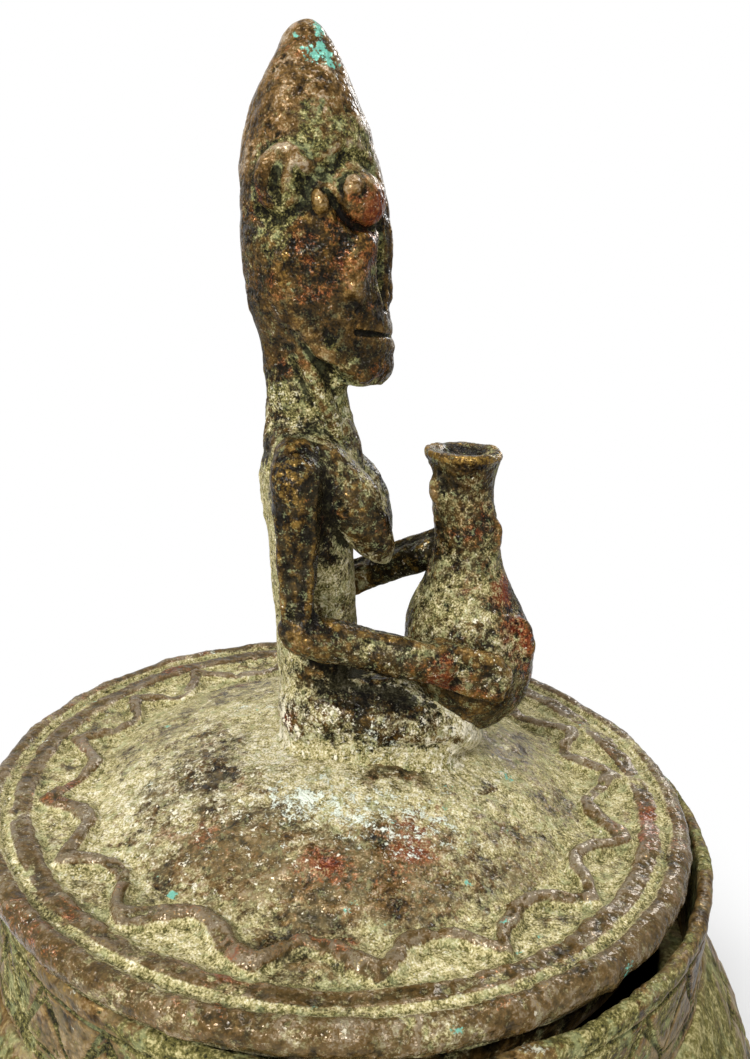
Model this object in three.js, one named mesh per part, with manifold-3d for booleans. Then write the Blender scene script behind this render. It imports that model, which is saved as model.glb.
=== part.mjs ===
import * as THREE from 'three';
import { mergeVertices } from 'three/addons/utils/BufferGeometryUtils.js';
import Module from 'manifold-3d';

// Bronze lidded vessel with a seated figure on its lift-off lid.
// Millimetres, +Z up, origin at the centre of the foot's underside. The figure faces +X.

const wasm = await Module();
wasm.setup();

// Clearances
const FIT_GAP = 0.3;
const SEAT_GAP = 0.1;
const LID_PLAY = 4.4;
const LID_SHIFT = 4;
const LID_SHIFT_ANGLE = 168;

// Vessel
const FOOT_RADIUS = 60;
const FOOT_HEIGHT = 10;
const FOOT_WIDTH = 8;
const FOOT_FLARE = 4;
const BELLY_RADIUS = 98;
const BELLY_HEIGHT = 84;
const LEDGE_HEIGHT = 148;
const LEDGE_WIDTH = 4.4;
const LEDGE_THICKNESS = 5;
const WALL = 4;
const NECK_STEP = 1.2;
const COLLAR_WIDTH = 3.4;
const COLLAR_HEIGHT = 21.9;
const COLLAR_ROUND = 0.8;

// Lid
const LID_RADIUS = 73.9;
const SKIRT_INSET = 6.1;
const SKIRT_DEPTH = 14;
const SKIRT_WALL = 3.5;
const PLATE_THICKNESS = 4;
const PLATE_SEAT = 1.5;
const BRIM_DEPTH = 2;
const ROLL_WIDTH = 5.2;
const ROLL_OVERHANG = 1.1;
const ROLL_FLAT = 50;
const GROOVE_WIDTH = 1.6;
const RIDGE_WIDTH = 4;
const RIDGE_HEIGHT = 1.4;
const THREAD_WIDTH = 3;
const THREAD_HEIGHT = 2;
const THREAD_SPACE = 0.9;
const WAVE_COUNT = 17;
const WAVE_SWING = 3.9;
const WAVE_TURN = 3;
const DOME_SPACE = 0.5;
const DOME_RISE = 14;

// Seated figure: heights above the dome's top, depths along X, widths along Y
const FIGURE_SETBACK = 4;
const FIGURE_LEAN = 0.1;
const SEAT_DEPTH = 26;
const SEAT_WIDTH = 30;
const SEAT_HEIGHT = 17;
const SEAT_FORWARD = 3;
const LEG_LENGTH = 29;
const LEG_THICKNESS = 14;
const LEG_SPREAD = 18;
const LEG_HEIGHT = 5;
const TORSO_HEIGHT = 66;
const TORSO_DEPTH = 18;
const WAIST_WIDTH = 23;
const SHOULDER_WIDTH = 31;
const BREAST_WIDTH = 13;
const BREAST_LENGTH = 10;
const BREAST_DROP = 14;
const NECK_DEPTH = 15;
const NECK_WIDTH = 13;
const NECK_HEIGHT = 24;
const CHIN_HEIGHT = 72.8;
const HEAD_HEIGHT = 63.9;
const HEAD_DEPTH = 27.6;
const HEAD_WIDTH = 24;
const HEAD_FORWARD = 4.6;
const MOUTH_HEIGHT = 1.2;
const MOUTH_DEPTH = 2.5;
const NOSE_LENGTH = 20;
const NOSE_WIDTH = 4.6;
const NOSE_PROUD = 1.8;
const EYE_SIZE = 10;
const EYE_PROUD = 2.2;
const PELLET_SIZE = 3.6;
const EAR_HEIGHT = 12;
const EAR_WIDTH = 10;
const EAR_THICKNESS = 3.2;
const UPPER_ARM_THICKNESS = 10.5;
const WRIST_THICKNESS = 8;
const HAND_THICKNESS = 9;
const SHOULDER_TUCK = 1;
const ELBOW_SPREAD = 34;
const ELBOW_HEIGHT = 24;

// Flask
const FLASK_FORWARD = 31.7;
const FLASK_LIFT = 2.5;
const FLASK_HEIGHT = 58.4;
const FLASK_BELLY_RADIUS = 14;
const FLASK_NECK_RADIUS = 6;
const FLASK_LIP_RADIUS = 7.8;
const FLASK_DISH = 2;

// Places on the head: shares of its height above the chin, and degrees round from the front
const MOUTH_RISE = 0.15;
const BROW_RISE = 0.56;
const EYE_RISE = 0.535;
const EYE_ROUND = 52;
const EYE_TURN = 36;
const EAR_RISE = 0.56;
const EAR_ROUND = 112;

// Places round the flask: degrees from the front, and shares of the flask's height
const PALM_ROUND = 115;
const RIGHT_HAND = { wrist: 0.28, tips: 0.21, curl: 50 };
const LEFT_HAND = { wrist: 0.64, tips: 0.76, curl: 32 };

// Facets
const RING_SIDES = 40;
const BODY_SIDES = 18;
const FLASK_SIDES = 20;
const LIMB_SIDES = 10;
const ARC_STEPS = 7;
const BEAD_STEPS = 6;
const ROLL_STEPS = 9;
const WAVE_STEPS = 8;
const LIMB_STEPS = 12;

// Radii and levels that follow from the sizes above
const skirtRadius = LID_RADIUS - SKIRT_INSET;
const collarInner = skirtRadius + LID_PLAY;
const collarOuter = collarInner + COLLAR_WIDTH;
const neckRadius = collarOuter + NECK_STEP;
const boreRadius = collarInner - LEDGE_WIDTH;
const rollHeight = BRIM_DEPTH + PLATE_THICKNESS;
const rollInner = LID_RADIUS + ROLL_OVERHANG - ROLL_WIDTH;
const plateRadius = rollInner - FIT_GAP;
const ridgeRadius = rollInner - GROOVE_WIDTH - RIDGE_WIDTH / 2;
const waveOuter = ridgeRadius - RIDGE_WIDTH / 2 - THREAD_SPACE - THREAD_WIDTH / 2;
const waveRadius = waveOuter - WAVE_SWING;
const domeRadius = waveRadius - WAVE_SWING - THREAD_WIDTH / 2 - DOME_SPACE;
const rimLevel = LEDGE_HEIGHT + COLLAR_HEIGHT + SEAT_GAP + rollHeight;
const domeTop = DOME_RISE - BRIM_DEPTH;
const domeSphere = (domeRadius ** 2 + DOME_RISE ** 2) / (2 * DOME_RISE);

const vector = (x, y, z) => new THREE.Vector3(x, y, z);
const point = (radius, height) => new THREE.Vector2(radius, height);

function arc(radius, height, radiusReach, heightReach, from, to, steps = ARC_STEPS) {
  const curve = new THREE.EllipseCurve(radius, height, radiusReach, heightReach, from, to, to < from);
  return curve.getPoints(steps);
}

// A turned piece. The outline runs up the outside and down the inside.
function turned(outline, sides = RING_SIDES) {
  const profile = outline.map((corner) => point(Math.max(corner.x, 0), corner.y));
  const geometry = new THREE.LatheGeometry(profile, sides);
  return geometry.rotateX(Math.PI / 2);
}

function turnedRing(outline) {
  return turned([...outline, outline[0]]);
}

// Skins a row of rings, each anticlockwise as seen from the next, and caps or joins its ends.
function skin(rings, closed = false) {
  const sides = rings[0].length;
  const corners = rings.flat();
  const faces = [];
  const joins = closed ? rings.length : rings.length - 1;
  for (let ring = 0; ring < joins; ring += 1) {
    const here = ring * sides;
    const next = ((ring + 1) % rings.length) * sides;
    for (let side = 0; side < sides; side += 1) {
      const beside = (side + 1) % sides;
      faces.push(here + side, here + beside, next + side);
      faces.push(here + beside, next + beside, next + side);
    }
  }
  if (!closed) {
    const last = (rings.length - 1) * sides;
    for (let side = 1; side < sides - 1; side += 1) {
      faces.push(0, side + 1, side);
      faces.push(last, last + side, last + side + 1);
    }
  }
  const geometry = new THREE.BufferGeometry().setFromPoints(corners);
  return geometry.setIndex(faces);
}

function oval(centre, alongX, alongY, sides) {
  return Array.from({ length: sides }, (_, side) => {
    const angle = (2 * Math.PI * side) / sides;
    return vector(centre.x + alongX * Math.cos(angle), centre.y + alongY * Math.sin(angle), centre.z);
  });
}

// A standing form of level ovals. Each station gives height, middle along X, depth and width.
function standing(stations, steps, sides, grow = 0) {
  const middle = new THREE.CatmullRomCurve3(stations.map((s) => vector(s.middle, 0, s.height)));
  const girth = new THREE.CatmullRomCurve3(stations.map((s) => vector(s.depth / 2, s.width / 2, 0)));
  const rings = [];
  for (let step = 0; step <= steps; step += 1) {
    const centre = middle.getPoint(step / steps);
    const reach = girth.getPoint(step / steps);
    if (step === 0) centre.z -= grow;
    if (step === steps) centre.z += grow;
    rings.push(oval(centre, reach.x + grow, reach.y + grow, sides));
  }
  return skin(rings);
}

// A round rod along a curve. Each knot gives its place and its thickness there.
function rod(knots, grow = 0, sides = LIMB_SIDES) {
  const path = new THREE.CatmullRomCurve3(knots.map((knot) => knot.at));
  const girth = new THREE.CatmullRomCurve3(knots.map((knot) => vector(knot.thick / 2, 0, 0)));
  const frames = path.computeFrenetFrames(LIMB_STEPS, false);
  const rings = [];
  for (let step = 0; step <= LIMB_STEPS; step += 1) {
    const share = path.getUtoTmapping(step / LIMB_STEPS);
    const centre = path.getPoint(share);
    const reach = girth.getPoint(share).x + grow;
    if (step === 0) centre.addScaledVector(frames.tangents[step], -grow);
    if (step === LIMB_STEPS) centre.addScaledVector(frames.tangents[step], grow);
    rings.push(Array.from({ length: sides }, (_, side) => {
      const angle = (2 * Math.PI * side) / sides;
      return centre.clone()
        .addScaledVector(frames.normals[step], reach * Math.cos(angle))
        .addScaledVector(frames.binormals[step], reach * Math.sin(angle));
    }));
  }
  return skin(rings);
}

// Solids for cutting one piece clear of another
function solid(geometry) {
  const bare = geometry.clone();
  bare.deleteAttribute('normal');
  bare.deleteAttribute('uv');
  const merged = mergeVertices(bare);
  const corners = merged.index.array;
  const faces = [];
  for (let face = 0; face < corners.length; face += 3) {
    const [a, b, c] = corners.slice(face, face + 3);
    if (a !== b && b !== c && c !== a) faces.push(a, b, c);
  }
  return new wasm.Manifold(new wasm.Mesh({
    numProp: 3,
    vertProperties: new Float32Array(merged.attributes.position.array),
    triVerts: new Uint32Array(faces),
  }));
}

function surface(piece) {
  const mesh = piece.getMesh();
  const geometry = new THREE.BufferGeometry();
  geometry.setAttribute('position', new THREE.BufferAttribute(mesh.vertProperties, mesh.numProp));
  geometry.setIndex(new THREE.BufferAttribute(mesh.triVerts, 1));
  return geometry;
}

function cutClear(geometry, neighbours) {
  const piece = neighbours.reduce((rest, other) => rest.subtract(solid(other)), solid(geometry));
  return surface(piece);
}

// Vessel
function footRing() {
  const top = FOOT_HEIGHT - SEAT_GAP;
  return turnedRing([
    point(FOOT_RADIUS - FOOT_WIDTH, 0),
    point(FOOT_RADIUS + FOOT_FLARE, 0),
    point(FOOT_RADIUS + FOOT_FLARE, top / 4),
    point(FOOT_RADIUS, top),
    point(FOOT_RADIUS - FOOT_WIDTH, top),
  ]);
}

function vesselBowl() {
  const neckAngle = Math.acos(neckRadius / BELLY_RADIUS);
  const footAngle = Math.acos(FOOT_RADIUS / BELLY_RADIUS);
  const upper = (LEDGE_HEIGHT - BELLY_HEIGHT) / Math.sin(neckAngle);
  const lower = (BELLY_HEIGHT - FOOT_HEIGHT) / Math.sin(footAngle);
  const throat = LEDGE_HEIGHT - LEDGE_THICKNESS;
  const floor = FOOT_HEIGHT + WALL;
  const throatAngle = Math.asin((throat - BELLY_HEIGHT) / (upper - WALL));
  const floorAngle = Math.asin((BELLY_HEIGHT - floor) / (lower - WALL));
  const inside = BELLY_RADIUS - WALL;
  return turned([
    point(0, FOOT_HEIGHT),
    ...arc(0, BELLY_HEIGHT, BELLY_RADIUS, lower, -footAngle, 0),
    ...arc(0, BELLY_HEIGHT, BELLY_RADIUS, upper, 0, neckAngle).slice(1),
    point(boreRadius, LEDGE_HEIGHT),
    point(boreRadius, throat),
    ...arc(0, BELLY_HEIGHT, inside, upper - WALL, throatAngle, 0),
    ...arc(0, BELLY_HEIGHT, inside, lower - WALL, 0, -floorAngle).slice(1),
    point(0, floor),
  ]);
}

function mouthCollar() {
  const shoulder = LEDGE_HEIGHT + COLLAR_HEIGHT - COLLAR_ROUND;
  const base = LEDGE_HEIGHT + SEAT_GAP;
  const corner = (radius, from, to) => arc(radius, shoulder, COLLAR_ROUND, COLLAR_ROUND, from, to, 3);
  return turnedRing([
    point(collarOuter + NECK_STEP / 2, base),
    ...corner(collarOuter - COLLAR_ROUND, 0, Math.PI / 2),
    ...corner(collarInner + COLLAR_ROUND, Math.PI / 2, Math.PI),
    point(collarInner, base),
  ]);
}

// Lid, with its heights measured from the top of its rim
function lidSkirt() {
  const top = -rollHeight - SEAT_GAP;
  return turnedRing([
    point(skirtRadius, top - SKIRT_DEPTH),
    point(skirtRadius, top),
    point(skirtRadius - SKIRT_WALL - PLATE_SEAT, top),
    point(skirtRadius - SKIRT_WALL, top - SKIRT_DEPTH),
  ]);
}

function domeArc(lift) {
  const slope = Math.asin(domeRadius / domeSphere);
  const centre = domeTop - domeSphere + lift;
  return arc(0, centre, domeSphere, domeSphere, Math.PI / 2 - slope, Math.PI / 2);
}

function lidDome() {
  const under = domeArc(-PLATE_THICKNESS).reverse();
  return turned([
    ...under,
    point(plateRadius, -rollHeight),
    point(plateRadius, -BRIM_DEPTH),
    ...domeArc(0),
  ]);
}

// The space that the lid's plate fills below a piece standing on it, with the gap to that piece
function domeSpace() {
  return turned([
    point(0, -rollHeight),
    point(plateRadius, -rollHeight),
    point(plateRadius, FIT_GAP - BRIM_DEPTH),
    ...domeArc(FIT_GAP),
  ]);
}

function rimRoll() {
  const flat = THREE.MathUtils.degToRad(ROLL_FLAT);
  const reach = rollHeight / (1 + Math.sin(flat));
  const middle = rollInner + ROLL_WIDTH / 2;
  return turnedRing(arc(middle, -reach, ROLL_WIDTH / 2, reach, -flat, Math.PI + flat, ROLL_STEPS));
}

function innerRidge() {
  const foot = SEAT_GAP - BRIM_DEPTH;
  return turnedRing(arc(ridgeRadius, foot, RIDGE_WIDTH / 2, RIDGE_HEIGHT, 0, Math.PI, BEAD_STEPS));
}

// The serpentine's middle line is a rounded triangle wave about its radius.
function waveAt(turn) {
  const phase = WAVE_COUNT * (turn - THREE.MathUtils.degToRad(WAVE_TURN));
  const swing = (Math.cos(phase) + Math.cos(3 * phase) / 9) / (1 + 1 / 9);
  const radius = waveRadius + WAVE_SWING * swing;
  return vector(radius * Math.cos(turn), radius * Math.sin(turn), SEAT_GAP - BRIM_DEPTH);
}

function waveThread() {
  const rings = [];
  const steps = WAVE_COUNT * WAVE_STEPS;
  const nudge = Math.PI / steps / WAVE_STEPS;
  for (let step = 0; step < steps; step += 1) {
    const turn = (2 * Math.PI * step) / steps;
    const along = waveAt(turn + nudge).sub(waveAt(turn - nudge)).normalize();
    const across = vector(-along.y, along.x, 0);
    const section = arc(0, 0, THREAD_WIDTH / 2, THREAD_HEIGHT, 0, Math.PI, BEAD_STEPS - 1);
    rings.push(section.map((corner) => {
      const place = waveAt(turn).addScaledVector(across, corner.x);
      place.z += corner.y;
      return place;
    }));
  }
  return skin(rings, true);
}

// The figure is made upright, then leant back and set on the dome.
const stance = new THREE.Matrix4()
  .makeTranslation(-FIGURE_SETBACK, 0, domeTop)
  .multiply(new THREE.Matrix4().makeShear(0, 0, 0, 0, -FIGURE_LEAN, 0));
const stood = (geometry) => geometry.applyMatrix4(stance);

function flask(grow = 0) {
  const share = (radius, height) => point(radius + grow, FLASK_LIFT + FLASK_HEIGHT * height);
  const side = new THREE.SplineCurve([
    share(FLASK_BELLY_RADIUS * 0.42, 0),
    share(FLASK_BELLY_RADIUS * 0.9, 0.12),
    share(FLASK_BELLY_RADIUS, 0.25),
    share(FLASK_BELLY_RADIUS * 0.86, 0.39),
    share((FLASK_BELLY_RADIUS + FLASK_NECK_RADIUS) / 2.45, 0.55),
    share(FLASK_NECK_RADIUS, 0.87),
    share(FLASK_LIP_RADIUS, 0.98),
  ]);
  const top = FLASK_LIFT + FLASK_HEIGHT + grow;
  const geometry = turned([
    point(0, FLASK_LIFT - grow),
    ...side.getPoints(2 * ARC_STEPS),
    point(FLASK_LIP_RADIUS * 0.9 + grow, top),
    point(FLASK_LIP_RADIUS * 0.7, top),
    point(FLASK_NECK_RADIUS * 0.6, top - FLASK_DISH),
    point(0, top - FLASK_DISH),
  ], FLASK_SIDES);
  return stood(geometry.translate(FLASK_FORWARD, 0, 0));
}

const headStations = [
  { rise: 0, shift: 0.17, depth: 0.47, width: 0.46 },
  { rise: 0.08, shift: 0.12, depth: 0.73, width: 0.67 },
  { rise: 0.19, shift: 0.03, depth: 0.93, width: 0.87 },
  { rise: 0.32, shift: -0.02, depth: 0.97, width: 0.96 },
  { rise: 0.47, shift: 0, depth: 1, width: 1 },
  { rise: 0.63, shift: 0, depth: 0.93, width: 0.94 },
  { rise: 0.79, shift: 0, depth: 0.7, width: 0.72 },
  { rise: 0.91, shift: 0, depth: 0.41, width: 0.42 },
  { rise: 1, shift: 0, depth: 0.06, width: 0.07 },
].map((station) => ({
  height: CHIN_HEIGHT + HEAD_HEIGHT * station.rise,
  middle: HEAD_FORWARD + HEAD_DEPTH * station.shift,
  depth: HEAD_DEPTH * station.depth,
  width: HEAD_WIDTH * station.width,
}));

// A place on the head's skin: a share of its height, and the angle round from the front to one side
function onHead(rise, angle, side) {
  const height = CHIN_HEIGHT + HEAD_HEIGHT * rise;
  const above = headStations.findIndex((station) => station.height >= height);
  const [low, high] = [headStations[above - 1], headStations[above]];
  const mix = (height - low.height) / (high.height - low.height);
  const blend = (key) => THREE.MathUtils.lerp(low[key], high[key], mix);
  const turn = THREE.MathUtils.degToRad(angle);
  const x = blend('middle') + (blend('depth') / 2) * Math.cos(turn);
  return vector(x, side * (blend('width') / 2) * Math.sin(turn), height);
}

function headForm(grow = 0) {
  return stood(standing(headStations, 2 * ARC_STEPS, BODY_SIDES, grow));
}

function figureHead() {
  const lips = onHead(MOUTH_RISE, 0, 1);
  const slit = new THREE.BoxGeometry(2 * MOUTH_DEPTH, HEAD_WIDTH, MOUTH_HEIGHT);
  return cutClear(headForm(), [stood(slit.translate(lips.x, lips.y, lips.z))]);
}

function noseForm() {
  const brow = onHead(BROW_RISE, 0, 1);
  const tip = onHead(BROW_RISE - NOSE_LENGTH / HEAD_HEIGHT, 0, 1);
  const bridge = brow.clone().lerp(tip, 0.5);
  return stood(rod([
    { at: brow.add(vector(-NOSE_WIDTH / 2, 0, 0)), thick: NOSE_WIDTH * 0.6 },
    { at: bridge.add(vector(NOSE_PROUD * 0.7 - NOSE_WIDTH * 0.4, 0, 0)), thick: NOSE_WIDTH * 0.8 },
    { at: tip.add(vector(NOSE_PROUD - NOSE_WIDTH / 2, 0, 0)), thick: NOSE_WIDTH },
  ], 0, 8));
}

function lens(centre, side, size, thickness, grow) {
  const geometry = new THREE.SphereGeometry(size / 2 + grow, LIMB_SIDES, BEAD_STEPS);
  geometry.scale(1, (thickness + grow) / (size / 2 + grow), 1);
  geometry.rotateZ(-side * THREE.MathUtils.degToRad(EYE_TURN));
  return stood(geometry.translate(centre.x, centre.y, centre.z));
}

function eyeDisc(side, grow = 0) {
  return lens(onHead(EYE_RISE, EYE_ROUND, side), side, EYE_SIZE, EYE_PROUD, grow);
}

function eyePellet(side) {
  const centre = onHead(EYE_RISE, EYE_ROUND, side);
  const turn = THREE.MathUtils.degToRad(EYE_TURN);
  const out = vector(Math.sin(turn), side * Math.cos(turn), 0);
  return lens(centre.addScaledVector(out, EYE_PROUD), side, PELLET_SIZE, PELLET_SIZE / 3, 0);
}

function ear(side) {
  const knots = [-30, 40, 110, 180, 235].map((turn) => {
    const angle = THREE.MathUtils.degToRad(turn);
    const rise = EAR_RISE + (EAR_HEIGHT / 2 / HEAD_HEIGHT) * Math.sin(angle);
    const round = EAR_ROUND - THREE.MathUtils.radToDeg(EAR_WIDTH / HEAD_DEPTH) * Math.cos(angle);
    return { at: onHead(rise, round, side), thick: EAR_THICKNESS };
  });
  return stood(rod(knots, 0, 6));
}

function torsoForm(grow = 0) {
  const station = (rise, depth, width) => ({
    height: TORSO_HEIGHT * rise, middle: 0, depth: TORSO_DEPTH * depth, width,
  });
  const slope = (SHOULDER_WIDTH + NECK_WIDTH) / 2;
  return stood(standing([
    station(0.05, 1, WAIST_WIDTH * 1.1),
    station(0.35, 0.93, WAIST_WIDTH),
    station(0.6, 0.95, WAIST_WIDTH),
    station(0.84, 0.98, SHOULDER_WIDTH),
    station(0.94, 0.94, slope),
    station(1, 0.85, NECK_WIDTH),
  ], 2 * ARC_STEPS, BODY_SIDES, grow));
}

function neckForm() {
  const base = TORSO_HEIGHT * 0.94;
  const station = (rise) => ({ height: base + rise, middle: 0, depth: NECK_DEPTH, width: NECK_WIDTH });
  return stood(standing([station(0), station(NECK_HEIGHT / 2), station(NECK_HEIGHT)], 4, LIMB_SIDES + 2));
}

function breastForm(side) {
  const out = (side * WAIST_WIDTH) / 3.2;
  const chest = TORSO_DEPTH / 2;
  const top = TORSO_HEIGHT * 0.9;
  return stood(rod([
    { at: vector(chest - BREAST_WIDTH * 0.45, out, top), thick: BREAST_WIDTH * 0.95 },
    { at: vector(chest + BREAST_LENGTH * 0.03, out, top - BREAST_DROP * 0.45), thick: BREAST_WIDTH * 0.95 },
    { at: vector(chest + BREAST_LENGTH * 0.33, out, top - BREAST_DROP * 0.9), thick: BREAST_WIDTH * 0.68 },
    { at: vector(chest + BREAST_LENGTH * 0.56, out, top - BREAST_DROP * 1.18), thick: BREAST_WIDTH * 0.28 },
  ]));
}

function seatForm(grow = 0) {
  const station = (height, depth, width) => ({
    height, middle: SEAT_FORWARD, depth: SEAT_DEPTH * depth, width: SEAT_WIDTH * width,
  });
  return stood(standing([
    station(-SEAT_HEIGHT / 2, 1.08, 1.04),
    station(SEAT_HEIGHT * 0.35, 1, 1),
    station(SEAT_HEIGHT * 0.75, 0.9, 0.92),
    station(SEAT_HEIGHT, 0.66, 0.7),
  ], ARC_STEPS, BODY_SIDES, grow));
}

function legForm(side, grow = 0) {
  const hip = vector(SEAT_FORWARD, side * LEG_SPREAD * 0.4, LEG_HEIGHT);
  const knee = vector(SEAT_FORWARD + LEG_LENGTH * 0.55, side * LEG_SPREAD * 0.5, LEG_HEIGHT * 0.8);
  const foot = vector(SEAT_FORWARD + LEG_LENGTH, side * LEG_SPREAD * 0.38, LEG_HEIGHT * 0.2);
  return stood(rod([
    { at: hip, thick: LEG_THICKNESS },
    { at: knee, thick: LEG_THICKNESS * 0.95 },
    { at: foot, thick: LEG_THICKNESS * 0.7 },
  ], grow));
}

// Both arms share the shoulder and elbow. Each hand curls round the flask, from the height of its
// wrist to that of its fingertips, both as shares of the flask's height.
function armForm(side, hand, flaskRadius, grow = 0) {
  const reach = flaskRadius + HAND_THICKNESS * 0.3;
  const elbow = vector(-TORSO_DEPTH * 0.12, (side * ELBOW_SPREAD) / 2, ELBOW_HEIGHT);
  const shoulder = vector(-TORSO_DEPTH * 0.06, (side * SHOULDER_WIDTH) / 2, TORSO_HEIGHT * 0.88);
  const tuck = shoulder.clone().add(vector(0, -side * SHOULDER_TUCK, TORSO_HEIGHT * 0.1));
  const round = (angle, share) => {
    const turn = THREE.MathUtils.degToRad(angle);
    const height = FLASK_LIFT + FLASK_HEIGHT * share;
    return vector(FLASK_FORWARD + reach * Math.cos(turn), side * reach * Math.sin(turn), height);
  };
  const palm = round(PALM_ROUND, hand.wrist);
  return stood(rod([
    { at: tuck, thick: UPPER_ARM_THICKNESS * 0.5 },
    { at: shoulder, thick: UPPER_ARM_THICKNESS },
    { at: shoulder.clone().lerp(elbow, 0.55), thick: UPPER_ARM_THICKNESS * 0.72 },
    { at: elbow, thick: WRIST_THICKNESS },
    { at: elbow.clone().lerp(palm, 0.5), thick: WRIST_THICKNESS },
    { at: palm, thick: HAND_THICKNESS },
    { at: round((PALM_ROUND + hand.curl) / 2, (hand.wrist + hand.tips) / 2), thick: HAND_THICKNESS * 0.9 },
    { at: round(hand.curl, hand.tips), thick: HAND_THICKNESS * 0.5 },
  ], grow));
}

const rightArm = (grow) => armForm(-1, RIGHT_HAND, FLASK_BELLY_RADIUS, grow);
const leftArm = (grow) => armForm(1, LEFT_HAND, FLASK_NECK_RADIUS, grow);

// Bronze of the castings and of the worn and crusted places
const finish = (color, roughness) => ({ color, roughness, metalness: 0.8 });
const DARK_BRONZE = finish(0x4a3a2c, 0.55);
const WORN_BRONZE = finish(0x7a5b36, 0.45);
const CRUSTED_BRONZE = finish(0x77734f, 0.75);

function piece(name, geometry, look) {
  const mesh = new THREE.Mesh(geometry, new THREE.MeshStandardMaterial(look));
  mesh.name = name;
  return mesh;
}

const vessel = new THREE.Group();
vessel.add(
  piece('foot_ring', footRing(), DARK_BRONZE),
  piece('vessel_bowl', vesselBowl(), CRUSTED_BRONZE),
  piece('mouth_collar', mouthCollar(), CRUSTED_BRONZE),
);

const lid = new THREE.Group();
const shiftAngle = THREE.MathUtils.degToRad(LID_SHIFT_ANGLE);
lid.position.set(LID_SHIFT * Math.cos(shiftAngle), LID_SHIFT * Math.sin(shiftAngle), rimLevel);
lid.add(
  piece('lid_skirt', lidSkirt(), DARK_BRONZE),
  piece('lid_dome', lidDome(), CRUSTED_BRONZE),
  piece('rim_roll', rimRoll(), WORN_BRONZE),
  piece('inner_ridge', innerRidge(), WORN_BRONZE),
  piece('wave_thread', waveThread(), WORN_BRONZE),
);

const seatCut = [domeSpace(), torsoForm(FIT_GAP), flask(FIT_GAP)];
lid.add(
  piece('flask', flask(), DARK_BRONZE),
  piece('figure_torso', torsoForm(), CRUSTED_BRONZE),
  piece('figure_head', figureHead(), DARK_BRONZE),
  piece('figure_neck', cutClear(neckForm(), [torsoForm(FIT_GAP), headForm(FIT_GAP)]), CRUSTED_BRONZE),
  piece('figure_seat', cutClear(seatForm(), seatCut), CRUSTED_BRONZE),
  piece('nose_ridge', cutClear(noseForm(), [headForm(FIT_GAP)]), WORN_BRONZE),
);

const sides = { right: -1, left: 1 };
const arms = { right: rightArm, left: leftArm };
for (const [name, side] of Object.entries(sides)) {
  const legCut = [...seatCut, seatForm(FIT_GAP)];
  if (side > 0) legCut.push(legForm(-side, FIT_GAP));
  const armCut = [torsoForm(FIT_GAP), flask(FIT_GAP), seatForm(FIT_GAP), legForm(side, FIT_GAP)];
  const breastCut = [torsoForm(FIT_GAP), arms[name](FIT_GAP)];
  const eyeCut = [headForm(FIT_GAP)];
  lid.add(
    piece(`${name}_leg`, cutClear(legForm(side), legCut), CRUSTED_BRONZE),
    piece(`${name}_arm`, cutClear(arms[name](0), armCut), WORN_BRONZE),
    piece(`${name}_breast`, cutClear(breastForm(side), breastCut), DARK_BRONZE),
    piece(`${name}_ear`, cutClear(ear(side), eyeCut), WORN_BRONZE),
    piece(`${name}_eye_disc`, cutClear(eyeDisc(side), eyeCut), DARK_BRONZE),
    piece(`${name}_eye_pellet`, cutClear(eyePellet(side), [eyeDisc(side, FIT_GAP), ...eyeCut]), WORN_BRONZE),
  );
}

const liddedVessel = new THREE.Group();
liddedVessel.add(vessel, lid);

export default liddedVessel;
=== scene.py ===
"""A bronze lidded vessel with a seated figure on its lid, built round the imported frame."""

import math
from functools import cache

import bpy
import numpy as np
from bpy.props import (
    FloatProperty, FloatVectorProperty, IntProperty, PointerProperty,
)
from mathutils import Matrix, Vector


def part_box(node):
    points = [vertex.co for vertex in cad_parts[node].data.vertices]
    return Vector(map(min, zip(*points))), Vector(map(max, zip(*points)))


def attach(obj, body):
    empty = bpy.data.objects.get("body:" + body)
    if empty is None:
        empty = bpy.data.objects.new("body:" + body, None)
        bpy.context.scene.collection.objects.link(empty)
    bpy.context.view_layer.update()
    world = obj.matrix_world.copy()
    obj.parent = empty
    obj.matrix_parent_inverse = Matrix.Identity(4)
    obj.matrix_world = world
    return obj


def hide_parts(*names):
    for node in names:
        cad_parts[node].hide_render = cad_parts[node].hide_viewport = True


bl_info = {
    "name": "Bronze lidded vessel",
    "version": (1, 0, 0),
    "blender": (4, 5, 0),
    "location": "View3D > Sidebar > Bronze",
    "description": "Casts a lidded bronze vessel with a seated figure and gives it an old patina",
    "category": "Object",
}

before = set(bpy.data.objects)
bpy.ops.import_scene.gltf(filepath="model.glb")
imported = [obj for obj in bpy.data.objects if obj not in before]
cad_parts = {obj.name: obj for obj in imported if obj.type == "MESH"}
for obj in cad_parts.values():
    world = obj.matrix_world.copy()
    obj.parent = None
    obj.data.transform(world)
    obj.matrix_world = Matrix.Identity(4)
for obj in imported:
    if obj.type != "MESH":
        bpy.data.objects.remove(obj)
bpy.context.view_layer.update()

MM = 0.001
FAR = 20.0
NEAR_SIDE, FAR_SIDE = -1, 1
NOISE_SHIFT = (17.3, -9.1, 5.7)


def span(node, axis):
    low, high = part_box(node)
    return high[axis] - low[axis]


def middle(node, axis):
    low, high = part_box(node)
    return (low[axis] + high[axis]) / 2


LID_X, LID_Y = middle("lid_skirt", 0), middle("lid_skirt", 1)
RIM_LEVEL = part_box("rim_roll")[1].z
DOME_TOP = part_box("lid_dome")[1].z


# Sizes, in metres


def length(default, name, description):
    return FloatProperty(
        name=name, description=description, default=default, unit="LENGTH", precision=5)


def count(default, name, description):
    return IntProperty(name=name, description=description, default=default, min=3)


def share(default, name, description):
    return FloatProperty(name=name, description=description, default=default)


def bearing(degrees, name, description):
    return FloatProperty(
        name=name, description=description, default=math.radians(degrees), unit="ROTATION")


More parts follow.
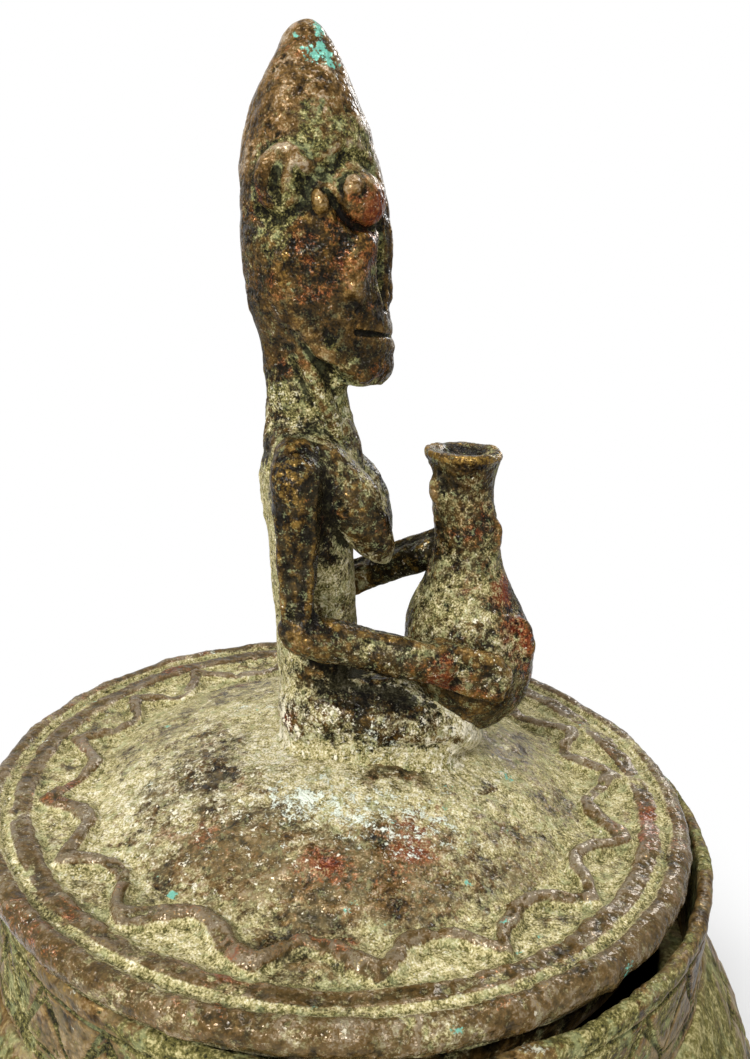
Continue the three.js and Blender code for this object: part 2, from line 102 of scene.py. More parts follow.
def colour(code, name, description):
    parts = [int(code[i:i + 2], 16) / 255 for i in (0, 2, 4)]
    linear = [((p + 0.055) / 1.055) ** 2.4 if p > 0.04045 else p / 12.92 for p in parts]
    return FloatVectorProperty(
        name=name, description=description, default=(*linear, 1.0), subtype="COLOR", size=4,
        min=0.0, max=1.0)


class VesselSettings(bpy.types.PropertyGroup):
    """Sizes of the vessel's bowl, collar and foot."""

    around: count(490, "Around", "Faces round the bowl and the collar")
    row: length(0.95 * MM, "Row", "Height of a row of faces on the shoulder")
    belly: length(span("vessel_bowl", 0) / 2, "Belly", "Radius of the bowl's belly")
    belly_height: length(0.084, "Belly height", "Height of the widest place")
    neck: length(0.0768, "Neck", "Radius where the shoulder meets the collar")
    bore: length(0.0678, "Bore", "Radius of the ledge's opening")
    wall: length(4 * MM, "Wall", "Thickness of the bowl's wall")
    ledge: length(5 * MM, "Ledge", "Thickness of the ledge")
    base: length(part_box("foot_ring")[1].z, "Base", "Height of the foot ring")
    foot: length(0.060, "Foot", "Radius of the bowl's base")
    foot_flare: length(span("foot_ring", 0) / 2, "Foot flare", "Outer radius of the foot ring")
    foot_bore: length(0.052, "Foot bore", "Inner radius of the foot ring")
    collar_outer: length(0.0756, "Collar", "Outer radius of the collar")
    collar_inner: length(0.0722, "Collar bore", "Inner radius of the collar")
    band_low: length(0.152, "Band foot", "Height of the incised band's lower line")
    band_high: length(0.1655, "Band head", "Height of the incised band's upper line")
    band_teeth: count(30, "Teeth", "Zigzags in the incised band")
    line_width: length(1.3 * MM, "Line width", "Width of an incised line")
    line_depth: length(0.55 * MM, "Line depth", "Depth of an incised line")
    girdle_low: length(0.118, "Girdle foot", "Height of the shoulder band's lower line")
    girdle_high: length(0.136, "Girdle head", "Height of the shoulder band's upper line")
    girdle_teeth: count(26, "Girdle teeth", "Zigzags in the shoulder band")


class LidSettings(bpy.types.PropertyGroup):
    """Sizes of the lid and of its raised threads."""

    around: count(900, "Around", "Faces round the lid")
    row: length(0.45 * MM, "Row", "Width of a ring of faces on the lid")
    skirt: length(span("lid_skirt", 0) / 2, "Skirt", "Radius of the skirt under the lid")
    rim: length(span("rim_roll", 0) / 2, "Rim", "Outer radius of the rim roll")
    brim_depth: length(2 * MM, "Brim depth", "How far the brim lies below the rim")
    dome: length(0.052, "Dome", "Radius of the dome's foot")
    dome_foot: length(4 * MM, "Dome foot", "Reach of the hollow where the dome meets the brim")
    thickness: length(4 * MM, "Thickness", "Thickness of the plate")
    roll_width: length(5.2 * MM, "Roll width", "Width of the rim roll")
    roll_height: length(span("rim_roll", 2), "Roll height", "Height of the rim roll")
    ridge: length(0.0662, "Ridge", "Radius of the ring inside the rim")
    ridge_width: length(5 * MM, "Ridge width", "Width of that ring")
    ridge_height: length(1.5 * MM, "Ridge height", "Height of that ring above the brim")
    wave: length(0.0579, "Wave", "Middle radius of the serpentine thread")
    wave_swing: length(3.9 * MM, "Wave swing", "Swing of the thread about that radius")
    wave_count: count(17, "Waves", "Waves round the lid")
    wave_turn: bearing(3, "Wave turn", "Angle of the first wave's crest")
    thread_width: length(4.4 * MM, "Thread width", "Width of the serpentine thread")
    thread_height: length(2.1 * MM, "Thread height", "Height of the serpentine thread")
    wander: length(1.1 * MM, "Wander", "How far the hand-laid threads stray")


class FigureSettings(bpy.types.PropertyGroup):
    """Sizes of the seated figure and its flask, upright before they are leant back."""

    head_step: length(0.37 * MM, "Head step", "Grid step of the head's wax")
    body_step: length(0.47 * MM, "Body step", "Grid step of the body's wax")
    flask_step: length(0.37 * MM, "Flask step", "Grid step of the flask's wax")
    setback: length(4 * MM, "Setback", "How far behind the lid's axis the figure sits")
    lean: share(0.1, "Lean", "Backward lean for each unit of height")
    chin: length(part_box("figure_head")[0].z - DOME_TOP, "Chin", "Height of the chin")
    head_height: length(span("figure_head", 2), "Head height", "Chin to tip")
    head_depth: length(27.6 * MM, "Head depth", "Depth of the head, brow to back")
    head_width: length(span("figure_head", 1), "Head width", "Width of the head")
    head_forward: length(4.7 * MM, "Head forward", "Middle of the head before the spine")
    torso_height: length(span("figure_torso", 2), "Torso height", "Dome to neck")
    torso_depth: length(18 * MM, "Torso depth", "Depth of the chest")
    waist: length(23 * MM, "Waist", "Width of the waist")
    shoulders: length(span("figure_torso", 1), "Shoulders", "Width across the shoulders")
    seat_width: length(span("figure_seat", 1), "Seat width", "Width across the hips")
    elbow_spread: length(34 * MM, "Elbow spread", "Distance between the elbows")
    elbow_height: length(24 * MM, "Elbow height", "Height of the elbows")
    flask_forward: length(31.7 * MM, "Flask forward", "Flask's axis before the spine")
    flask_lift: length(2.5 * MM, "Flask lift", "Height of the flask's base")
    flask_height: length(span("flask", 2), "Flask height", "Base to lip")
    flask_belly: length(span("flask", 1) / 2, "Flask belly", "Radius of the flask's belly")
    flask_neck: length(6 * MM, "Flask neck", "Radius of the flask's neck")
    flask_lip: length(7.8 * MM, "Flask lip", "Radius of the flask's lip")


class PatinaSettings(bpy.types.PropertyGroup):
    """Colours of the old bronze."""

    dark: colour("0d0905", "Dark", "Deep brown of the hollows")
    brown: colour("3f2d11", "Brown", "Brown skin of the metal")
    tan: colour("6b5029", "Tan", "Lighter brown skin")
    # Also painted sheen: the lightest metal tone, which the marks put on the top of the head where
    # light falls, as well as on rubbed crests.
    rubbed_and_painted_sheen: colour("b0a18c", "Sheen", "Greyed brown of rubbed places")
    gold: colour("8f7232", "Gold", "Bare metal on worn edges")
    moss: colour("1c1d10", "Moss", "Dark green crust")
    olive: colour("6c6638", "Olive", "Olive crust")
    ash: colour("bbaf7e", "Ash", "Pale crust")
    sage: colour("8f956a", "Sage", "Green tinge of the crust")
    cream: colour("efe7cf", "Cream", "Chalky specks")
    film: colour("827552", "Film", "Thin dull film on the metal")
    veil: colour("4b3f25", "Veil", "Olive dust on raised threads")
    mint: colour("e2e9d9", "Mint", "Pale green bloom")
    turquoise: colour("70b9a6", "Turquoise", "Bright green-blue bloom")
    ruddy: colour("6a2a14", "Ruddy", "Red copper oxide")
    ember: colour("a3653a", "Ember", "Orange flecks in the red oxide")
    # The pit colour also paints shade in hollows and under parts, besides the dirt in the pits.
    pit: colour("060402", "Pit", "Soil in the pits")


GROUPS = {
    "bronze_vessel": VesselSettings,
    "bronze_lid": LidSettings,
    "bronze_figure": FigureSettings,
    "bronze_patina": PatinaSettings,
}


# Node trees


class Value:
    """A node's output that Python arithmetic can use."""

    def __init__(self, tree, socket):
        self.tree, self.socket = tree, socket

    def __add__(self, other):
        return self.tree.math("ADD", self, other)

    def __sub__(self, other):
        return self.tree.math("SUBTRACT", self, other)

    def __rsub__(self, other):
        return self.tree.math("SUBTRACT", other, self)

    def __mul__(self, other):
        return self.tree.math("MULTIPLY", self, other)

    def __truediv__(self, other):
        return self.tree.math("DIVIDE", self, other)

    def __neg__(self):
        return self.tree.math("MULTIPLY", self, -1.0)

    def __abs__(self):
        return self.tree.math("ABSOLUTE", self)

    def fade(self, start, end):
        """0 at start and 1 at end, with soft ends."""
        node = self.tree.add(
            "ShaderNodeMapRange", {"interpolation_type": "SMOOTHSTEP"},
            {"Value": self, "From Min": start, "From Max": end})
        return self.tree.out(node)


class Tree:
    """Adds nodes to a shader or geometry tree."""

    def __init__(self, tree):
        self.tree = tree

    def add(self, kind, settings=None, inputs=None):
        node = self.tree.nodes.new(kind)
        for key, value in (settings or {}).items():
            setattr(node, key, value)
        for key, value in (inputs or {}).items():
            if isinstance(value, Value):
                self.tree.links.new(value.socket, node.inputs[key])
            else:
                node.inputs[key].default_value = value
        return node

    def out(self, node, key=0):
        return Value(self, node.outputs[key])

    def math(self, operation, *values):
        return self.out(self.add(
            "ShaderNodeMath", {"operation": operation}, dict(enumerate(values))))

    def vector(self, operation, *values):
        node = self.add("ShaderNodeVectorMath", {"operation": operation}, dict(enumerate(values)))
        return self.out(node, "Value" if operation == "DOT_PRODUCT" else "Vector")

    def scaled(self, vector, factor):
        return self.out(self.add(
            "ShaderNodeVectorMath", {"operation": "SCALE"}, {0: vector, "Scale": factor}))

    def split(self, vector):
        node = self.add("ShaderNodeSeparateXYZ", inputs={0: vector})
        return [self.out(node, axis) for axis in range(3)]

    def join(self, x, y, z):
        return self.out(self.add("ShaderNodeCombineXYZ", inputs={0: x, 1: y, 2: z}))

    def noise(self, place, size, detail=3.0, rough=0.55, seed=0.0, bend=0.0):
        shifted = self.vector("ADD", place, [seed * part for part in NOISE_SHIFT])
        node = self.add("ShaderNodeTexNoise", inputs={
            "Vector": shifted, "Scale": 1 / size, "Detail": detail, "Roughness": rough,
            "Distortion": bend})
        return self.out(node)

    def mix(self, factor, first, second):
        node = self.add("ShaderNodeMix", {"data_type": "RGBA"}, {0: factor, 6: first, 7: second})
        return self.out(node, 2)

    def ramp(self, factor, stops):
        node = self.add("ShaderNodeValToRGB", inputs={0: factor})
        points = node.color_ramp.elements
        while len(points) < len(stops):
            points.new(1.0)
        for point, (place, shade) in zip(points, stops):
            point.position = place
            point.color = shade
        return self.out(node)


def fresh_tree(block):
    """The emptied node tree of a new material or world."""
    block.use_nodes = True
    block.node_tree.nodes.clear()
    return Tree(block.node_tree)


class Recipe(Tree):
    """A geometry tree with named inputs."""

    def __init__(self, name):
        super().__init__(bpy.data.node_groups.new(name, "GeometryNodeTree"))
        self.tree.is_modifier = True
        for side in ("OUTPUT", "INPUT"):
            self.tree.interface.new_socket(
                "Geometry", in_out=side, socket_type="NodeSocketGeometry")
        self.source = self.tree.nodes.new("NodeGroupInput")
        self.names = {}

    def ask(self, name, default=0.0, kind="NodeSocketFloat"):
        socket = self.tree.interface.new_socket(name, in_out="INPUT", socket_type=kind)
        if kind != "NodeSocketMaterial":
            socket.default_value = default
        self.names[name] = socket.identifier
        return self.out(self.source, name)

    def geometry(self):
        return self.out(self.source, "Geometry")

    def store(self, geometry, name, value):
        node = self.add(
            "GeometryNodeStoreNamedAttribute", {"data_type": "FLOAT", "domain": "POINT"},
            {"Geometry": geometry, "Name": name, "Value": value})
        return self.out(node)

    def move(self, geometry, offset):
        return self.out(self.add(
            "GeometryNodeSetPosition", inputs={"Geometry": geometry, "Offset": offset}))

    def place(self):
        return self.out(self.add("GeometryNodeInputPosition"))

    def normal(self):
        return self.out(self.add("GeometryNodeInputNormal"))

    def close(self, geometry):
        whole = self.out(self.add("GeometryNodeRealizeInstances", inputs={"Geometry": geometry}))
        coated = self.out(self.add("GeometryNodeSetMaterial", inputs={
            "Geometry": whole, "Material": self.ask("Material", kind="NodeSocketMaterial")}))
        end = self.tree.nodes.new("NodeGroupOutput")
        self.tree.links.new(coated.socket, end.inputs[0])

    def apply(self, piece, **values):
        """Runs the recipe on a piece and leaves plain mesh."""
        modifier = piece.modifiers.new(self.tree.name, "NODES")
        modifier.node_group = self.tree
        for name, value in values.items():
            modifier[self.names[name]] = value
        bpy.context.view_layer.update()
        ready = piece.evaluated_get(bpy.context.evaluated_depsgraph_get())
        mesh = bpy.data.meshes.new_from_object(ready)
        piece.modifiers.remove(modifier)
        old, piece.data = piece.data, mesh
        bpy.data.meshes.remove(old)


def axis_place(recipe):
    """Distance from the lid's axis, and angle round it."""
    x, y, z = recipe.split(recipe.place())
    x, y = x - recipe.ask("Axis X"), y - recipe.ask("Axis Y")
    away = recipe.math("SQRT", x * x + y * y)
    return away, recipe.math("ARCTAN2", y, x), z


@cache
def lid_relief():
    """Raises the serpentine thread and the ring ridge on the brim, and marks them and the roll."""
    recipe = Recipe("Lid relief")
    away, turn, _ = axis_place(recipe)
    place = recipe.place()
    crest_round, roll_edge, roll_mark = 0.012, 1.2 * MM, 0.7
    stray = (recipe.noise(place, 11 * MM, 2.0, seed=1) - 0.5) * recipe.ask("Wander") * 2.0
    swing, crests = recipe.ask("Wave swing"), recipe.ask("Wave count")
    slip = (recipe.noise(place, 16 * MM, 1.0, seed=9) - 0.5) * 3.0
    half = ((turn - recipe.ask("Wave turn")) * crests + slip) * 0.5
    sine, cosine = recipe.math("SINE", half), recipe.math("COSINE", half)
    curve = 1.0 - recipe.math("SQRT", sine * sine + crest_round) * 2.0
    steep = cosine * swing * crests / away
    apart = abs(away + stray - recipe.ask("Wave radius") - swing * curve)
    apart = apart / recipe.math("SQRT", steep * steep + 1.0)
    width = recipe.ask("Thread width")
    wear = recipe.noise(place, 11 * MM, 3.0, seed=2).fade(0.34, 0.54) * 0.75 + 0.3
    line = apart.fade(width * 0.6, width * 0.12)
    ring_width = recipe.ask("Ridge width")
    ring_apart = abs(away + stray * 0.4 - recipe.ask("Ridge radius"))
    ring = ring_apart.fade(ring_width * 0.66, ring_width * 0.2) * (wear * 0.5 + 0.5)
    up = recipe.split(recipe.normal())[2].fade(0.3, 0.7)
    rise = recipe.math("MAXIMUM", line * wear * recipe.ask("Thread height"),
                       ring * recipe.ask("Ridge height")) * up
    roll_from = recipe.ask("Roll radius")
    roll = away.fade(roll_from, roll_from + roll_edge) * roll_mark
    laid = recipe.math("MAXIMUM", line * (wear * 0.3 + 0.7), ring) * up
    body = recipe.store(recipe.geometry(), "relief", recipe.math("MAXIMUM", laid, roll))
    recipe.close(recipe.move(body, recipe.join(0.0, 0.0, rise)))
    return recipe


@cache
def incised_band():
    """Cuts two ring lines and a double zigzag between them into a turned piece."""
    recipe = Recipe("Incised band")
    _, turn, height = axis_place(recipe)
    low, high = recipe.ask("Band foot"), recipe.ask("Band head")
    width, teeth = recipe.ask("Line width"), recipe.ask("Teeth")
    level = height + (recipe.noise(recipe.place(), 20 * MM, 2.0, seed=3) - 0.5) * width
    whole_turns = 100.0
    tooth = abs(recipe.math("FRACT", turn * teeth / (2 * math.pi) + whole_turns) - 0.5) * 2.0
    slant = abs(level - low - (high - low) * tooth) * 0.5
    second = abs(level - low - (high - low) * (tooth * 0.72 + 0.08)) * 0.56
    nearest = recipe.math("MINIMUM", recipe.math("MINIMUM", slant, second), recipe.math(
        "MINIMUM", abs(level - low), abs(level - high)))
    within = (level.fade(low - width, low - width * 0.5)
              * level.fade(high + width, high + width * 0.5))
    outside = recipe.vector("DOT_PRODUCT", recipe.normal(), recipe.vector(
        "NORMALIZE", recipe.place())).fade(0.1, 0.4)
    cut = nearest.fade(width * 0.6, width * 0.1) * within * outside
    body = recipe.store(recipe.geometry(), "relief", -cut)
    depth = cut * recipe.ask("Line depth") * -1.0
    recipe.close(recipe.move(body, recipe.scaled(recipe.normal(), depth)))
    return recipe


@cache
def cast_skin():
    """Gives a piece the lumps, grain and pits of an old casting, and marks its crests."""
    recipe = Recipe("Cast skin")
    seed = recipe.ask("Seed")
    moved = recipe.vector("ADD", recipe.place(), recipe.join(seed, seed * -0.7, seed * 0.4))
    rough = recipe.noise(moved, 8 * MM, 3.0, 0.6, 8).fade(0.4, 0.62) * 0.8 + 0.2
    lump = recipe.noise(moved, 9 * MM, 2.0, 0.5, 4, 0.4) - 0.5
    knob = (recipe.noise(moved, 3.6 * MM, 4.0, 0.62, 12) - 0.5) * rough
    grain = (recipe.noise(moved, 1.4 * MM, 2.0, 0.6, 5) - 0.5) * rough
    scatter = recipe.noise(moved, 6 * MM, 2.0, seed=6).fade(0.5, 0.66)
    pit = recipe.noise(moved, 2.3 * MM, 3.0, 0.6, 7).fade(0.42, 0.3) * scatter
    height = (lump * recipe.ask("Lump height") * 2.0 + knob * recipe.ask("Knob height") * 2.0
              + grain * recipe.ask("Grain height") * 2.0 - pit * recipe.ask("Pit depth"))
    body = recipe.move(recipe.geometry(), recipe.scaled(recipe.normal(), height))
    for name, steps in (("crest", "Crest steps"), ("form", "Form steps")):
        smooth = recipe.add("GeometryNodeBlurAttribute", {"data_type": "FLOAT_VECTOR"}, {
            "Value": recipe.place(), "Iterations": recipe.ask(steps, 4, "NodeSocketInt")})
        proud = recipe.vector("DOT_PRODUCT", recipe.normal(), recipe.vector(
            "SUBTRACT", recipe.place(), recipe.out(smooth)))
        body = recipe.store(body, name, proud / MM)
    recipe.close(recipe.store(body, "pit", pit))
    return recipe


# Patina


def patina(name, shades, crust=0.0, speck=0.3, gold=0.5, red=0.3, mint=0.2, gloss=0.5, soil=1.0,
           pale=0.0, film=0.25, shade=0.0, glint=0.09, soft=0.0, vary=1.0, grain=1.0, leaf=0.0):
    """Old bronze. The amounts move the balance between bare metal and what has grown on it.

    Crust, speck, gold, red, mint, film and leaf say how much of each shows, and soil how dark the
    hollows are, which paints shade in them as well as dirt. Pale lightens the crust and shade the
    metal. Gloss and glint set the shine, soft the width of the crust's edge, vary its contrast and
    grain the size of the whole pattern.
    """
    material = bpy.data.materials.new(name)
    tree = fresh_tree(material)
    crest_gain, form_gain, most = 14.0, 3.0, 1.2

    def mark(key):
        return tree.out(tree.add("ShaderNodeAttribute", {"attribute_name": key}), "Fac")

    place = tree.scaled(tree.out(tree.add("ShaderNodeTexCoord"), "Object"), 1 / (MM * grain))

    def limit(value):
        return tree.math("MAXIMUM", tree.math("MINIMUM", value, most), -most)

    def noise(size, seed, detail=4.0, rough=0.62):
        """Noise about zero, with its size in millimetres."""
        return (tree.noise(place, size, detail, rough, seed) - 0.5) * 4.0

    broad, patch = noise(15.0, 1, 3.0), noise(4.5, 2, 5.0)
    fine, grit = noise(1.4, 3), noise(0.4, 4, 2.0)
    other, chalk = noise(2.2, 5, 5.0, 0.7), noise(1.3, 6, 5.0, 0.66)
    crest, form = limit(mark("crest") * crest_gain), limit(mark("form") * form_gain)
    raised = mark("relief").fade(0.45, 0.8)
    relief = raised - mark("relief").fade(-0.2, -0.8) * 0.6
    crease = 1.0 - abs(noise(1.0, 13)) * 2.4

    # The marks move the tone: on the head they lighten the top as painted top light; elsewhere the
    # tone differs by place.
    tone = (patch * 0.28 + fine * 0.2 + grit * 0.17 + broad * 0.2 + crest * 0.2 + form * 0.1
            - crease * 0.06 + mark("fair") + 0.4 + shade)
    metal = tree.ramp(tone, (
        (0.08, shades.dark), (0.4, shades.brown), (0.66, shades.tan), (1.0, shades.rubbed_and_painted_sheen)))
    worn = (crest * 0.4 + form * 0.1 + fine * 0.45 + grit * 0.36 + patch * 0.26 - raised * 0.3
            + mark("gild")).fade(0.5, 0.85) * gold
    haze = (noise(6.0, 14) * 0.5 + broad * 0.25 + fine * 0.3).fade(-0.45, 0.45)
    metal = tree.mix(haze * (1.0 - raised * 0.85) * film, metal, shades.film)
    metal = tree.mix(raised * (patch * 0.3 + fine * 0.2 + 0.55), metal, shades.veil)
    metal = tree.mix(worn, metal, shades.gold)
    rust = (noise(5.0, 7) * 0.34 + fine * 0.42 + grit * 0.3 + mark("ruddy")).fade(0.4, 0.95) * red
    oxide = tree.mix((grit * 0.7 + fine * 0.5).fade(0.0, 0.7), shades.ruddy, shades.ember)
    metal = tree.mix(rust, metal, oxide)

    growth = (broad * 0.3 + patch * 0.46 + fine * 0.3 + grit * 0.14 - form * 0.14 - crest * 0.22
              - relief * 0.8 + mark("crust") + crust)
    green = (noise(1.8, 18, 5.0, 0.7) * 0.6 + grit * 0.3
             + broad * 0.15).fade(0.12, 0.42) * (1.0 - raised * 0.6) * leaf
    metal = tree.mix(green, metal, shades.sage)
    cover = growth.fade(-0.14 - soft, 0.32 + soft)
    depth = ((other * 0.26 + fine * 0.18 + grit * 0.38 + crest * 0.1 + growth * 0.1) * vary
             + mark("speck") * 0.14 + 0.46 + pale)
    scale = tree.ramp(depth, (
        (0.06, shades.moss), (0.38, shades.olive), (0.66, shades.ash), (1.0, shades.cream)))
    scale = tree.mix((noise(3.5, 11) + fine * 0.5).fade(0.05, 0.6) * 0.5, scale, shades.sage)
    skin = tree.mix(cover, metal, scale)

    dust = (chalk * 0.54 + grit * 0.16 + patch * 0.2 + broad * 0.1
            + mark("speck") * 0.3).fade(0.42, 0.58) * speck * (1.0 - raised * 0.7)
    skin = tree.mix(dust, skin, shades.cream)
    bloom = (noise(2.4, 8, 5.0, 0.7) * 0.42 + chalk * 0.44 + grit * 0.3
             + mark("bloom")).fade(0.56, 0.9) * mint
    skin = tree.mix(bloom, skin, shades.mint)
    bright = (noise(2.2, 9, 5.0, 0.7) * 0.7 + fine * 0.4 + mark("verdigris")).fade(0.72, 0.95)
    skin = tree.mix(bright * 0.85, skin, shades.turquoise)
    # Painted shade as well as dirt: concave places, creases and the marked spots under parts darken
    # towards the pit colour, along with the cast pits.
    hollow_and_shade = (form * 0.34 + crest * 0.42 - crease * 0.14 + fine * 0.24 + grit * 0.16
              - mark("soil")).fade(-0.32, -0.85)
    hollow_and_shade = tree.math("MAXIMUM", hollow_and_shade, mark("pit")) * soil
    skin = tree.mix(hollow_and_shade * 0.92, skin, shades.pit)

    clean = (1.0 - cover) * (1.0 - dust) * (1.0 - hollow_and_shade) * (1.0 - green)
    swell, dent, fleck = noise(2.6, 15, 0.0), noise(1.0, 16, 0.0), noise(0.5, 17, 0.0)
    height = ((swell * 0.15 + dent * 0.08 + fleck * 0.04) * (1.0 - raised * 0.4)
              + cover * (fine * 0.1 + grit * 0.04 + 0.1)
              + dust * 0.08 + bloom * 0.08 - hollow_and_shade * 0.15)
    bump = tree.add("ShaderNodeBump", inputs={"Strength": 1.0, "Distance": MM, "Height": height})
    shader = tree.add("ShaderNodeBsdfPrincipled", inputs={
        "Base Color": skin,
        "Metallic": clean * (worn * 0.5 + 0.14),
        "Roughness": 0.8 - clean * (0.5 * gloss + 0.2) + grit * 0.02,
        "Specular IOR Level": glint,
        "Normal": tree.out(bump)})
    tree.add("ShaderNodeOutputMaterial", inputs={"Surface": tree.out(shader)})
    return material


# Meshes


def mesh_piece(name, points, faces, marks):
    """Links a smooth mesh object. Points are in millimetres."""
    mesh = bpy.data.meshes.new(name)
    mesh.from_pydata((points * MM).tolist(), [], faces)
    for key, values in marks.items():
        layer = mesh.attributes.new(key, "FLOAT", "POINT")
        layer.data.foreach_set("value", np.asarray(values, np.float32))
    mesh.shade_smooth()
    piece = bpy.data.objects.new(name, mesh)
    bpy.context.scene.collection.objects.link(piece)
    return piece


def turned(profile, around):
    """Points and faces of a profile turned about Z. It runs up the outside and down the inside."""
    profile = np.asarray(profile, float)
    poles = [profile[0, 0] < 1e-6, profile[-1, 0] < 1e-6]
    rows = profile[int(poles[0]):len(profile) - int(poles[1])]
    angle = 2 * np.pi * np.arange(around) / around
    ring = np.stack([np.cos(angle), np.sin(angle)], 1)
    points = np.concatenate([
        np.concatenate([ring * radius, np.full((around, 1), height)], 1)
        for radius, height in rows])
    here = np.arange(around)
    beside = (here + 1) % around
    faces = []
    joins = len(rows) - 1 if any(poles) else len(rows)
    for row in range(joins):
        low, high = row * around, (row + 1) % len(rows) * around
        faces.extend(np.stack([low + here, low + beside, high + beside, high + here], 1).tolist())
    last = (len(rows) - 1) * around
    if poles[0]:
        points = np.concatenate([points, [[0, 0, profile[0, 1]]]])
        faces.extend([[len(points) - 1, b, a] for a, b in zip(here.tolist(), beside.tolist())])
    if poles[1]:
        points = np.concatenate([points, [[0, 0, profile[-1, 1]]]])
        faces.extend([[last + a, last + b, len(points) - 1]
                      for a, b in zip(here.tolist(), beside.tolist())])
    return points, faces


def evenly(corners, step):
    """Fills in a broken line so that its points lie about one step apart."""
    corners = np.asarray(corners, float)
    line = [corners[:1]]
    for start, end in zip(corners, corners[1:]):
        pieces = max(int(np.ceil(np.linalg.norm(end - start) / step)), 1)
        line.append(start + (end - start) * np.arange(1, pieces + 1)[:, None] / pieces)
    return np.concatenate(line)


def arc(middle_at, reach, start, end, steps):
    angle = np.radians(np.linspace(start, end, steps))
    return np.stack([middle_at[0] + reach[0] * np.cos(angle),
                     middle_at[1] + reach[1] * np.sin(angle)], 1)


def spots(points, places):
    """A soft sum of round marks. Each gives X, Y, height, radius and strength in millimetres."""
    total = np.zeros(len(points))
    for x, y, z, radius, strength in places:
        total += strength * np.exp(-((points - (x, y, z)) ** 2).sum(1) / radius ** 2)
    return total


def both(x, out, height, radius, strength):
    """One round mark on each side of the figure."""
    return [(x, side * out, height, radius, strength) for side in (NEAR_SIDE, FAR_SIDE)]


def slope(values, start, run):
    """0 up to start and 1 from start plus run. With a negative run it falls instead."""
    return np.clip((values - start) / run, 0, 1)


def blotches(points, number, radius, strength, seed):
    """Round marks at chance places on a piece, always the same ones for one seed."""
    chance = np.random.default_rng(seed)
    middles = points[chance.choice(len(points), number)]
    sizes = radius * chance.uniform(0.6, 1.4, number)
    return spots(points, [(*place, size, strength) for place, size in zip(middles, sizes)])


def mm(value):
    return value / MM


# Wax forms of the figure


def smooth_line(knots, steps=5):
    """A curve through the knots, as a broken line."""
    knots = np.asarray(knots, float)
    ends = np.concatenate([[2 * knots[0] - knots[1]], knots, [2 * knots[-1] - knots[-2]]])
    t = (np.arange(steps) / steps)[:, None]
    line = []
    for a, b, c, d in zip(ends, ends[1:], ends[2:], ends[3:]):
        line.append(0.5 * (2 * b + (c - a) * t + (2 * a - 5 * b + 4 * c - d) * t ** 2
                           + (3 * b - a - 3 * c + d) * t ** 3))
    return np.concatenate([*line, knots[-1:]])


class Form:
    """A distance to a wax form, and the box that holds it."""

    def __init__(self, distance, low, high):
        self.distance = distance
        self.low, self.high = np.asarray(low, float), np.asarray(high, float)


def rod(knots):
    """A round rod. Each knot gives X, Y, height and radius."""
    line = smooth_line(knots)

    def distance(x, y, z):
        nearest = FAR
        for a, b in zip(line, line[1:]):
            d = b - a
            along = np.clip(((x - a[0]) * d[0] + (y - a[1]) * d[1] + (z - a[2]) * d[2])
                            / max((d[:3] ** 2).sum(), 1e-9), 0, 1)
            gap = np.sqrt((x - a[0] - along * d[0]) ** 2 + (y - a[1] - along * d[1]) ** 2
                          + (z - a[2] - along * d[2]) ** 2) - a[3] - along * d[3]
            nearest = np.minimum(nearest, gap)
        return nearest

    reach = line[:, 3].max()
    return Form(distance, line[:, :3].min(0) - reach, line[:, :3].max(0) + reach)


def ball(centre, reach, turn=0.0):
    """A ball drawn out along its own axes and turned about Z, in degrees."""
    cos, sin = math.cos(math.radians(turn)), math.sin(math.radians(turn))

    def distance(x, y, z):
        across, along = x - centre[0], y - centre[1]
        u, v = across * cos + along * sin, along * cos - across * sin
        w = z - centre[2]
        size = np.sqrt((u / reach[0]) ** 2 + (v / reach[1]) ** 2 + (w / reach[2]) ** 2)
        return (size - 1) * min(reach)

    room = max(reach)
    return Form(distance, np.subtract(centre, room), np.add(centre, room))


def tower(stations, power=2.0):
    """A standing form of level ovals. Each station gives height, middle, half depth, half width."""
    line = smooth_line(stations)
    heights = line[:, 0]

    def distance(x, y, z):
        centre, depth, width = (np.interp(z, heights, line[:, k]) for k in (1, 2, 3))
        round_at = (np.abs((x - centre) / depth) ** power
                    + np.abs(y / width) ** power) ** (1 / power)
        return np.maximum((round_at - 1) * np.minimum(depth, width),
                          np.maximum(heights[0] - z, z - heights[-1]))

    depth, width = line[:, 2].max(), line[:, 3].max()
    return Form(distance, (line[:, 1].min() - depth, -width, heights[0]),
                (line[:, 1].max() + depth, width, heights[-1]))


def soft_min(first, second, soft):
    if soft <= 0:
        return np.minimum(first, second)
    part = np.clip(0.5 + (second - first) / (2 * soft), 0, 1)
    return second + (first - second) * part - soft * part * (1 - part)


